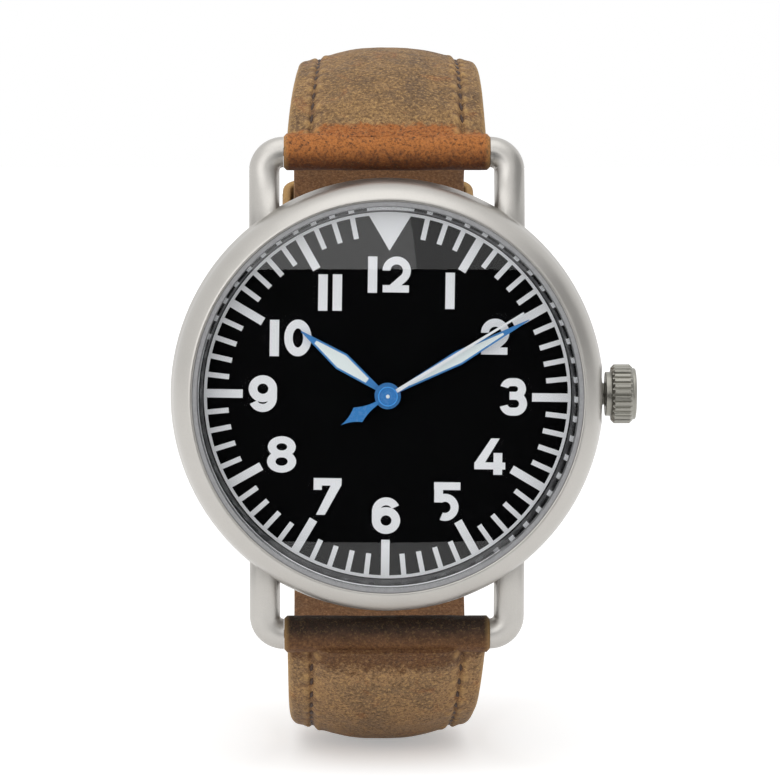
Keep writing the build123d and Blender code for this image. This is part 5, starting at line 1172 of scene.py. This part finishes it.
def lateral_places():
    """Places round the upper leather, each a kind, a side and a share: under side, then over the top."""
    band = (0, 0.02, 0.06, 0.12, 0.2, 0.3, 0.42, 0.54, 0.66, 0.76, 0.84, 0.9, 0.95)
    crown = (1.0, 0.985, 0.97, 0.95, 0.925, 0.9, 0.87, 0.83, 0.79, 0.74, 0.68, 0.61, 0.54, 0.46)
    crown += (0.38, 0.3, 0.22, 0.14, 0.07)
    places = [("under", -1 + 2 * index / 8, 0) for index in range(9)]
    places += [("side", 1, share) for share in (0.25, 0.5, 0.75)]
    places += [("band", 1, share) for share in band]
    places += [("crown", value, 0) for value in (*crown, 0.0)]
    places += [("crown", -value, 0) for value in reversed(crown)]
    places += [("band", -1, share) for share in reversed(band)]
    places += [("side", -1, share) for share in (0.75, 0.5, 0.25)]
    return places


def padded_height(strap, across, along, half, pad, edge, crown, power, seed):
    """Height of the padded leather's face and how far it is puckered up."""
    off = abs(across) - pad
    step = min(crown, PAD_STEP)
    if off > 0:
        height = edge + step * (1 - min(off / (half - pad), 1) ** 1.5) * 0.8
        height -= edge_drop(half - abs(across), EDGE_ROUNDING)
    else:
        height = edge + step + (crown - step) * (1 - (abs(across) / pad) ** power)
    along += 0.3 * random_at(along * 0.4, seed, 1)
    beat = math.cos(FULL_TURN * along / strap.stitch_pitch)
    channel = bell(off, CHANNEL_WIDTH)
    puff = bell(abs(off) - 0.5, 0.36) * (0.5 - 0.5 * beat) * (0.75 + 0.6 * random_at(across * 0.5, along * 0.5, seed))
    lift = min(crown / 1.2, 1)
    height += lift * (strap.pucker * puff + 0.03) - 0.03 - strap.seam_depth * channel * (1 + 0.3 * beat)
    rough = random_at(across * 0.22, along * 0.22, 5 + seed)
    fine = random_at(across * 0.9, along * 0.9, 9 + seed)
    return height + lift * (0.08 * rough + 0.03 * fine), puff


def upper_leather(strap, name, material, nodes):
    """Padded upper leather lofted along its stations."""
    angles, places = strap.upper_angles, lateral_places()
    along = [0.0]
    for before, after in zip(angles, angles[1:]):
        along.append(along[-1] + math.radians(abs(after - before)) * strap.seam_radius)

    def point(index, station):
        """Point of the leather with its values."""
        angle = angles[station]
        width, edge, fold, lean = strap.width_at(angle), strap.edge_at(angle), strap.fold_at(angle), strap.lean(angle)
        half, pad, base = width / 2, strap.seam(width), strap.radius_at(angle) + LINING
        kind, side, share = places[index]
        if kind == "under":
            x = (half - 0.12) * side if abs(side) == 1 else half * side
            return loop_point(angle, base, x + lean), 0.2, 0.0, fold
        if kind == "side":
            return loop_point(angle, base + (edge - 0.6) * share, side * half + lean), 0.25, 0.3, fold
        x = side * (blend(share, half, pad) if kind == "band" else pad)
        power = blend(eased(abs(angle - angles[0]), 0, 13), 9.0, 2.3)
        seed = strap.seed + (0 if x > 0 else 3)
        height, puff = padded_height(strap, x, along[station], half, pad, edge, strap.crown_at(angle), power, seed)
        near_seam = bell(abs(x) - pad, 0.9) * (1 - 0.8 * puff)
        # Rim: lighter rubbed edge, and a painted highlight on the raised puckers
        rim = max(0.8 * bell(half - abs(x), 0.3), puff)
        return loop_point(angle, base + height, x + lean), near_seam, rim, fold

    mesh = new_mesh(seam=True)
    wrapped(mesh, len(places), len(angles) - 1, point)
    piece = settle(mesh, name, material, "case", nodes, 60)
    return piece


def make_uppers(sizes, finishes):
    """Padded uppers of both straps, the long one punched for the buckle."""
    tones = leather_tones(finishes)
    leather = worn_leather("padded_leather", tones)
    # The long strap gets a lighter copy of the leather, which is painted light, and a darker fold tone, which is
    # painted shade near the lower roll
    tones.update(fold=tint(100, 66, 38), middle=tint(168, 132, 92), dark=tint(134, 107, 78))
    painted_lighter_leather = worn_leather("lower_padded_leather", tones)
    upper_leather(ShortStrap(sizes), "short_strap_padding", leather, ("strap_short_upper",))
    piece = upper_leather(LongStrap(sizes), "long_strap_padding", painted_lighter_leather, ("strap_long_upper",))
    punch_holes(piece, sizes.loop_radius / MM)


def punch_holes(piece, loop_radius):
    """Cut the row of oval holes, the longer one for the tang."""
    mesh = bmesh.new()
    radius = HOLE_WIDTH / 2
    round_hole = {"cap_ends": True, "segments": 28, "radius1": radius, "radius2": radius, "depth": 12.0}
    holes = [(angle, HOLE_LENGTH) for angle in HOLE_ANGLES if abs(angle - TANG_HOLE_ANGLE) > HOLE_ANGLES.step]
    for angle, length in holes + [(TANG_HOLE_ANGLE, TANG_HOLE_LENGTH)]:
        outward, along = loop_ways(angle)
        basis = Matrix((SIDE_AXIS, along, outward)).transposed().to_4x4()
        place = Matrix.Translation(loop_point(angle, loop_radius + 3.5, 0)) @ basis
        punch = bmesh.ops.create_cone(mesh, **round_hole)["verts"]
        for vert in punch:
            vert.co.y += math.copysign((length - HOLE_WIDTH) / 2, vert.co.y) if abs(vert.co.y) > 1e-6 else 0
        bmesh.ops.transform(mesh, matrix=place, verts=punch)
    bmesh.ops.recalc_face_normals(mesh, faces=mesh.faces)
    bmesh.ops.scale(mesh, vec=(MM, MM, MM), verts=mesh.verts)
    punches = new_object(mesh, "hole_punches")
    cut = piece.modifiers.new("holes", "BOOLEAN")
    cut.operation = "DIFFERENCE"
    cut.solver = "EXACT"
    cut.object = punches
    with bpy.context.temp_override(object=piece, active_object=piece, selected_objects=[piece]):
        bpy.ops.object.modifier_apply(modifier=cut.name)
    data = punches.data
    bpy.data.objects.remove(punches)
    bpy.data.meshes.remove(data)


def flat_leather(strap, name, material, nodes):
    """Flat lining lofted along its stations."""
    angles, round_steps = strap.lining_angles, 28

    def point(index, station):
        """Point of the lining with its values, a little wavy on its inner side."""
        angle = angles[station]
        turn = FULL_TURN * index / round_steps
        rise = math.sin(turn)
        x = (strap.width_at(angle) / 2 - 0.03) * bulged(math.cos(turn), 0.12)
        height = min(LINING / 2 * (1 + bulged(rise, 0.3)), LINING - 0.01)
        wave = 0.02 * random_at(x * 0.3, angle * 0.2, 3) * (rise < 0)
        return loop_point(angle, strap.radius_at(angle) + height + wave, x + strap.lean(angle)), 0.0, 0.2, 0.0

    mesh = new_mesh(seam=True)
    wrapped(mesh, round_steps, len(angles) - 1, point)
    return settle(mesh, name, material, "case", nodes, 60)


def make_linings(sizes, finishes):
    """Inner leathers of both straps, the long one punched for the buckle."""
    tones = leather_tones(finishes)
    tones.update(middle=finishes.lining, dark=tint(104, 74, 50), light=tint(156, 118, 82), rust=tint(134, 92, 60))
    leather = worn_leather("lining_leather", tones)
    flat_leather(ShortStrap(sizes), "short_strap_lining", leather, ("strap_short_lining",))
    piece = flat_leather(LongStrap(sizes), "long_strap_lining", leather, ("strap_long_lining",))
    punch_holes(piece, sizes.loop_radius / MM)


def leather_roll(name, radius, ends, centre, material, nodes, seed):
    """Leather rolled round a bar, softly uneven, with rounded ends."""
    round_steps, long_steps, rounding = 56, 70, 0.3

    def point(index, station):
        """Point of the roll with its values."""
        x = blend(station / long_steps, *ends)
        inset = min(x - ends[0], ends[1] - x)
        turn = FULL_TURN * index / round_steps
        reach = radius - edge_drop(inset, rounding)
        reach += 0.05 * random_at(x * 0.25, turn * 1.5, seed) + 0.03 * random_at(x, turn * 5, seed)
        out = Vector((0.0, math.cos(turn), math.sin(turn)))
        return Vector((x, *centre)) + out * reach, 0.0, 0.7 * bell(inset, rounding), 0.0

    mesh = new_mesh(seam=True)
    wrapped(mesh, round_steps, long_steps, point)
    settle(mesh, name, material, "case", nodes, 60)


def make_rolls(sizes, finishes):
    """Rolled strap ends at the lugs and at the buckle."""
    tones = leather_tones(finishes)
    # Painted shade on the lug rolls: the upper roll darker towards its bottom, the lower roll painted nearly black
    # towards its top, where the case shades it
    rust = worn_leather("rust_leather", tones, 0.9, (21.9, 24.5, tint(84, 40, 10), tint(182, 112, 54)), 0.4)
    dark = worn_leather("shaded_leather", tones, 0.2, (-25.0, -22.5, tint(108, 72, 42), tint(26, 15, 7)), 0.15)
    plain = worn_leather("folded_leather", tones, 0.25)
    half, radius = sizes.width / MM / 2 + ROLL_OVERHANG, sizes.roll_radius / MM
    leather_roll("upper_strap_roll", radius, (-half, half), (BAR_Y, BAR_Z), rust, ("strap_short_upper",), 1)
    leather_roll("lower_strap_roll", radius, (-half, half), (BAR_Y, -BAR_Z), dark, ("strap_long_upper",), 2)
    pin = loop_point(BUCKLE_PIN_ANGLE, sizes.loop_radius / MM + END_ROLL_RADIUS, 0)
    for side, name in ((-1, "buckle_roll_left"), (1, "buckle_roll_right")):
        ends = sorted((side * TANG_SLOT_HALF, side * sizes.end_width / MM / 2))
        leather_roll(name, END_ROLL_RADIUS - 0.02, ends, (pin.y, pin.z), plain, ("strap_short_upper",), 3 + side)


def make_stitches(sizes, finishes):
    """Seams of both straps: a short waxed stitch at every pitch."""
    thread = waxed_thread("waxed_thread", finishes.thread)
    for name, strap in (("short_strap_seams", ShortStrap(sizes)), ("long_strap_seams", LongStrap(sizes))):
        mesh = new_mesh()
        step = math.degrees(strap.stitch_pitch / strap.seam_radius)
        shape = Matrix.Diagonal((strap.stitch_radius, strap.stitch_radius * 0.8, strap.stitch_pitch * 0.4, 1))
        for side in (-1, 1):
            for angle in spaced(*strap.seam_span, step):
                across = side * strap.seam(strap.width_at(angle)) + strap.lean(angle)
                radius = strap.radius_at(angle) + LINING + strap.edge_at(angle) + PAD_STEP - strap.seam_depth
                outward, along = loop_ways(angle)
                basis = Matrix((SIDE_AXIS, outward, along)).transposed().to_4x4()
                slant = Matrix.Rotation(math.radians(STITCH_SLANT * side), 4, outward)
                place = Matrix.Translation(loop_point(angle, radius, across)) @ slant @ basis @ shape
                bmesh.ops.create_uvsphere(mesh, u_segments=8, v_segments=6, radius=1.0, matrix=place)
        settle(mesh, name, thread, "case", (), 80)


def keeper_path(half, low, high, corner):
    """Rounded rectangle round the strap: across, radius and outward direction."""
    path = []
    corners = ((half, high, 0), (-half, high, 90), (-half, low, 180), (half, low, 270))
    for x, radius, start in corners:
        inner_x = x - math.copysign(corner, x)
        inner_radius = radius - corner if radius == high else radius + corner
        bend = []
        for step in range(9):
            turn = math.radians(start + 90 * step / 8)
            out_x, out_radius = math.cos(turn), math.sin(turn)
            bend.append((inner_x + corner * out_x, inner_radius + corner * out_radius, out_x, out_radius))
        if path:
            path += between(path[-1], bend[0])
        path += bend
    return path + between(path[-1], path[0])


def between(first, last):
    """Seven points strictly between two points of a path."""
    return [tuple(blend(step / 8, a, b) for a, b in zip(first, last)) for step in range(1, 8)]


def make_keepers(sizes, finishes):
    """Fixed and floating keepers, bent round the loop."""
    leather = worn_leather("keeper_leather", leather_tones(finishes), 0.2)
    reach, corner, thickness, length, round_steps = 0.75, 1.3, 0.96, 4.9, 32
    low, high = sizes.loop_radius / MM - reach, sizes.loop_radius / MM + 6.2
    path = keeper_path(sizes.end_width / MM / 2 + reach, low, high, corner)
    spread = math.degrees(length / (low + high))
    for node, name, body, middle in (
        ("fixed_keeper", "fixed_keeper_band", "case", FIXED_KEEPER_ANGLE),
        ("floating_keeper", "floating_keeper_band", "floating_keeper", FLOATING_KEEPER_ANGLE),
    ):

        def point(index, station):
            """Point of the band with its values, creased near both edges."""
            x, radius, out_x, out_radius = path[station % len(path)]
            turn = FULL_TURN * index / round_steps
            rise = math.sin(turn)
            lengthways = bulged(math.cos(turn), 0.22)
            outward = thickness / 2 * bulged(rise, 0.5) - 0.1 * bell(abs(lengthways) - 0.8, 0.05) * (rise > 0)
            place = loop_point(middle + spread * lengthways, radius + out_radius * outward, x + out_x * outward)
            return place, 0.0, abs(lengthways) ** 12, 0.0

        mesh = new_mesh(seam=True)
        wrapped(mesh, round_steps, len(path), point, close_ends=False)
        settle(mesh, name, leather, body, (node,), 50)


def make_buckle(finishes):
    """Buckle bow and tongue."""
    steel = blasted_steel("satin_buckle_steel", finishes.steel, 0.28, 0.008)
    for node, name in (("buckle_frame", "buckle_bow"), ("buckle_tang", "buckle_tongue")):
        piece = merged_copy(node, name, steel, node)
        edges = piece.modifiers.new("edges", "BEVEL")
        edges.width = 0.14 * MM
        edges.segments = 3
        edges.limit_method = "ANGLE"
        edges.angle_limit = math.radians(50)


# Stage


def make_floor():
    """Plain pale floor that keeps the watch's shadow."""
    graph = Graph("pale_floor")
    texture = graph.noise(20, 2.0, 0.5)
    shade = graph.mix(texture, (0.88, 0.88, 0.88), (0.9, 0.9, 0.9))
    diffuse = graph.add("ShaderNodeBsdfDiffuse", {}, {"Color": shade})
    glow = graph.add("ShaderNodeEmission", {}, {"Color": (0.36, 0.36, 0.36), "Strength": 1.0})
    lit = graph.add("ShaderNodeAddShader", {}, {0: diffuse, 1: glow})
    material = graph.output(graph.add("ShaderNodeMixShader", {}, {0: graph.seen(), 1: diffuse, 2: lit}))
    mesh = bmesh.new()
    place = Matrix.Translation((0, 0, CAD_BOX[0].z))
    bmesh.ops.create_grid(mesh, x_segments=2, y_segments=2, size=4.0, matrix=place)
    stand(mesh, "pale_floor", material)


def plain_light(name, shade, strength):
    """Even light of one grey."""
    graph = Graph(name)
    return graph.output(graph.add("ShaderNodeEmission", {}, {"Color": (shade, shade, shade), "Strength": strength}))


def make_cards():
    """Dark cards before the watch and a grey one to its right, seen only in its crystal and metal."""
    dark, grey = plain_light("dark_card", 0.0, 0.0), plain_light("grey_card", 0.42, 1.0)
    low = CAD_BOX[0].z + MM
    front, back, high = -0.62, -0.087, 0.0946
    upright = Matrix.Translation((0, front, (low + high) / 2)) @ Matrix.Rotation(math.pi / 2, 4, "X")
    lying = Matrix.Translation((0, (front + back) / 2, low))
    side = Matrix.Translation((0.42, -0.2, 0.16)) @ Matrix.Rotation(math.pi / 2, 4, "Y")
    cards = (
        ("upright_card", upright, (high - low) / 2, dark),
        ("lying_card", lying, (back - front) / 2, dark),
        ("side_card", side, 0.34, grey),
    )
    for name, place, half, finish in cards:
        mesh = bmesh.new()
        card = bmesh.ops.create_grid(mesh, x_segments=1, y_segments=1, size=1.0)["verts"]
        bmesh.ops.scale(mesh, vec=(0.21, half, 1), verts=card)
        if name == "lying_card":
            near = [vert for vert in card if vert.co.y > 0]
            bmesh.ops.scale(mesh, vec=(0.24, 1, 1), verts=near)
        bmesh.ops.transform(mesh, matrix=place, verts=card)
        piece = stand(mesh, name, finish)
        for ray in ("camera", "diffuse", "shadow", "transmission"):
            setattr(piece, "visible_" + ray, False)


def stand(mesh, name, material):
    """Turn a mesh into a part of the stage."""
    piece = new_object(mesh, name)
    piece.data.materials.append(material)
    return piece


def make_world(ambience):
    """White room: full white where it is seen or mirrored, softer as light."""
    graph = Graph("white_room", world=True)
    soft, full = (
        graph.add("ShaderNodeBackground", {}, {"Color": (1.0, 1.0, 1.0), "Strength": strength})
        for strength in (ambience, 1.0)
    )
    mixed = graph.add("ShaderNodeMixShader", {}, {0: graph.seen(), 1: soft, 2: full})
    bpy.context.scene.world = graph.output(mixed)


def make_lamp(name, direction, strength, softness):
    """Soft distant lamp shining along a direction."""
    data = bpy.data.lights.new(name, "SUN")
    data.energy = strength
    data.angle = math.radians(softness)
    lamp = bpy.data.objects.new(name, data)
    lamp.rotation_euler = Vector(direction).to_track_quat("-Z", "Y").to_euler()
    bpy.context.scene.collection.objects.link(lamp)


def make_camera(sizes):
    """Camera at the photograph's place."""
    aim = Vector((0.27, -5.0, 0.45)) * MM
    rise, turn = sizes.elevation, sizes.azimuth
    away = Vector((-math.sin(turn) * math.cos(rise), -math.cos(turn) * math.cos(rise), math.sin(rise)))
    data = bpy.data.cameras.new("camera")
    data.sensor_width = 36.0
    data.lens = sizes.lens
    data.clip_start = 0.01
    camera = bpy.data.objects.new("camera", data)
    camera.location = aim + away * sizes.distance
    camera.rotation_euler = (-away).to_track_quat("-Z", "Y").to_euler()
    bpy.context.scene.collection.objects.link(camera)
    bpy.context.scene.camera = camera


# Operators


class WATCH_OT_case(Operator):
    """Dress the case, its lugs and the screwed back in blasted and turned steel"""

    bl_idname = "watch.case"
    bl_label = "Case"

    def execute(self, context):
        make_case(context.scene.watch_finishes)
        return {"FINISHED"}


class WATCH_OT_bezel(Operator):
    """Turn the domed bezel"""

    bl_idname = "watch.bezel"
    bl_label = "Bezel"

    def execute(self, context):
        make_bezel(context.scene.watch_head, context.scene.watch_finishes)
        return {"FINISHED"}


class WATCH_OT_glass(Operator):
    """Turn the domed crystal and the grey ring round it"""

    bl_idname = "watch.glass"
    bl_label = "Crystal and ring"

    def execute(self, context):
        make_glass(context.scene.watch_head, context.scene.watch_finishes)
        return {"FINISHED"}


class WATCH_OT_rehaut(Operator):
    """Turn the steep ring between dial and crystal"""

    bl_idname = "watch.rehaut"
    bl_label = "Rehaut"

    def execute(self, context):
        make_rehaut(context.scene.watch_head, context.scene.watch_finishes)
        return {"FINISHED"}


class WATCH_OT_crown(Operator):
    """Cut the knurled crown and turn its grooved neck"""

    bl_idname = "watch.crown"
    bl_label = "Crown and neck"

    def execute(self, context):
        make_crown(context.scene.watch_head, context.scene.watch_finishes)
        return {"FINISHED"}


class WATCH_OT_dial(Operator):
    """Lacquer the dial and print its ring, bars, triangle and numerals"""

    bl_idname = "watch.dial"
    bl_label = "Dial"

    def execute(self, context):
        make_dial(context.scene.watch_dial, context.scene.watch_finishes)
        return {"FINISHED"}


class WATCH_OT_hands(Operator):
    """Blue the hands and fill them with white"""

    bl_idname = "watch.hands"
    bl_label = "Hands"

    def execute(self, context):
        make_hands(context.scene.watch_finishes)
        return {"FINISHED"}


class WATCH_OT_movement(Operator):
    """Finish the movement's plates, wheels and electrics"""

    bl_idname = "watch.movement"
    bl_label = "Movement"

    def execute(self, context):
        make_movement()
        return {"FINISHED"}


class WATCH_OT_padding(Operator):
    """Loft the padded uppers of both straps and punch their holes"""

    bl_idname = "watch.padding"
    bl_label = "Strap padding"

    def execute(self, context):
        make_uppers(context.scene.watch_strap, context.scene.watch_finishes)
        return {"FINISHED"}


class WATCH_OT_linings(Operator):
    """Loft the straps' inner leathers"""

    bl_idname = "watch.linings"
    bl_label = "Strap linings"

    def execute(self, context):
        make_linings(context.scene.watch_strap, context.scene.watch_finishes)
        return {"FINISHED"}


class WATCH_OT_rolls(Operator):
    """Roll the strap ends round the lug bars and the buckle pin"""

    bl_idname = "watch.rolls"
    bl_label = "Strap rolls"

    def execute(self, context):
        make_rolls(context.scene.watch_strap, context.scene.watch_finishes)
        return {"FINISHED"}


class WATCH_OT_stitches(Operator):
    """Sew the seams along both straps"""

    bl_idname = "watch.stitches"
    bl_label = "Stitches"

    def execute(self, context):
        make_stitches(context.scene.watch_strap, context.scene.watch_finishes)
        return {"FINISHED"}


class WATCH_OT_keepers(Operator):
    """Bend the fixed and the floating keeper"""

    bl_idname = "watch.keepers"
    bl_label = "Keepers"

    def execute(self, context):
        make_keepers(context.scene.watch_strap, context.scene.watch_finishes)
        return {"FINISHED"}


class WATCH_OT_buckle(Operator):
    """Finish the buckle's bow and tongue in satin steel"""

    bl_idname = "watch.buckle"
    bl_label = "Buckle"

    def execute(self, context):
        make_buckle(context.scene.watch_finishes)
        return {"FINISHED"}


class WATCH_OT_stage(Operator):
    """Set the floor, the cards, the lamps and the camera"""

    bl_idname = "watch.stage"
    bl_label = "Stage"

    def execute(self, context):
        sizes = context.scene.watch_stage
        make_floor()
        make_cards()
        make_world(sizes.ambience)
        make_lamp("top_lamp", (0.05, 0.3, -1.0), 0.6, 60)
        make_lamp("front_lamp", (0.5, 1.0, -0.1), 0.85, 60)
        make_camera(sizes)
        context.scene.view_settings.view_transform = "Standard"
        return {"FINISHED"}


OPERATORS = (
    WATCH_OT_case,
    WATCH_OT_bezel,
    WATCH_OT_glass,
    WATCH_OT_rehaut,
    WATCH_OT_crown,
    WATCH_OT_dial,
    WATCH_OT_hands,
    WATCH_OT_movement,
    WATCH_OT_padding,
    WATCH_OT_linings,
    WATCH_OT_rolls,
    WATCH_OT_stitches,
    WATCH_OT_keepers,
    WATCH_OT_buckle,
    WATCH_OT_stage,
)


GROUPS = {
    "watch_head": HeadSizes,
    "watch_dial": DialSizes,
    "watch_strap": StrapSizes,
    "watch_finishes": Finishes,
    "watch_stage": StageSizes,
}


class WATCH_PT_pieces(Panel):
    """Pieces of the watch, each made by its own button"""

    bl_label = "Pilot watch"
    bl_idname = "WATCH_PT_pieces"
    bl_space_type = "VIEW_3D"
    bl_region_type = "UI"
    bl_category = "Watch"

    def draw(self, context):
        """Show the buttons and the sizes."""
        for operator in OPERATORS:
            self.layout.operator(operator.bl_idname)
        for group in GROUPS:
            self.layout.separator()
            values = getattr(context.scene, group)
            for name in values.bl_rna.properties.keys():
                if name not in ("rna_type", "name"):
                    self.layout.prop(values, name)


CLASSES = (*GROUPS.values(), *OPERATORS, WATCH_PT_pieces)


def register():
    """Make the classes known and hang their groups on the scene."""
    for kind in CLASSES:
        bpy.utils.register_class(kind)
    for name, kind in GROUPS.items():
        setattr(bpy.types.Scene, name, PointerProperty(type=kind))


def unregister():
    """Take the groups and the classes away again."""
    for name in GROUPS:
        delattr(bpy.types.Scene, name)
    for kind in reversed(CLASSES):
        bpy.utils.unregister_class(kind)


def main():
    """Make every piece."""
    register()
    bpy.ops.watch.case()
    bpy.ops.watch.bezel()
    bpy.ops.watch.glass()
    bpy.ops.watch.rehaut()
    bpy.ops.watch.crown()
    bpy.ops.watch.dial()
    bpy.ops.watch.hands()
    bpy.ops.watch.movement()
    bpy.ops.watch.padding()
    bpy.ops.watch.linings()
    bpy.ops.watch.rolls()
    bpy.ops.watch.stitches()
    bpy.ops.watch.keepers()
    bpy.ops.watch.buckle()
    bpy.ops.watch.stage()


if __name__ == "__main__":
    main()
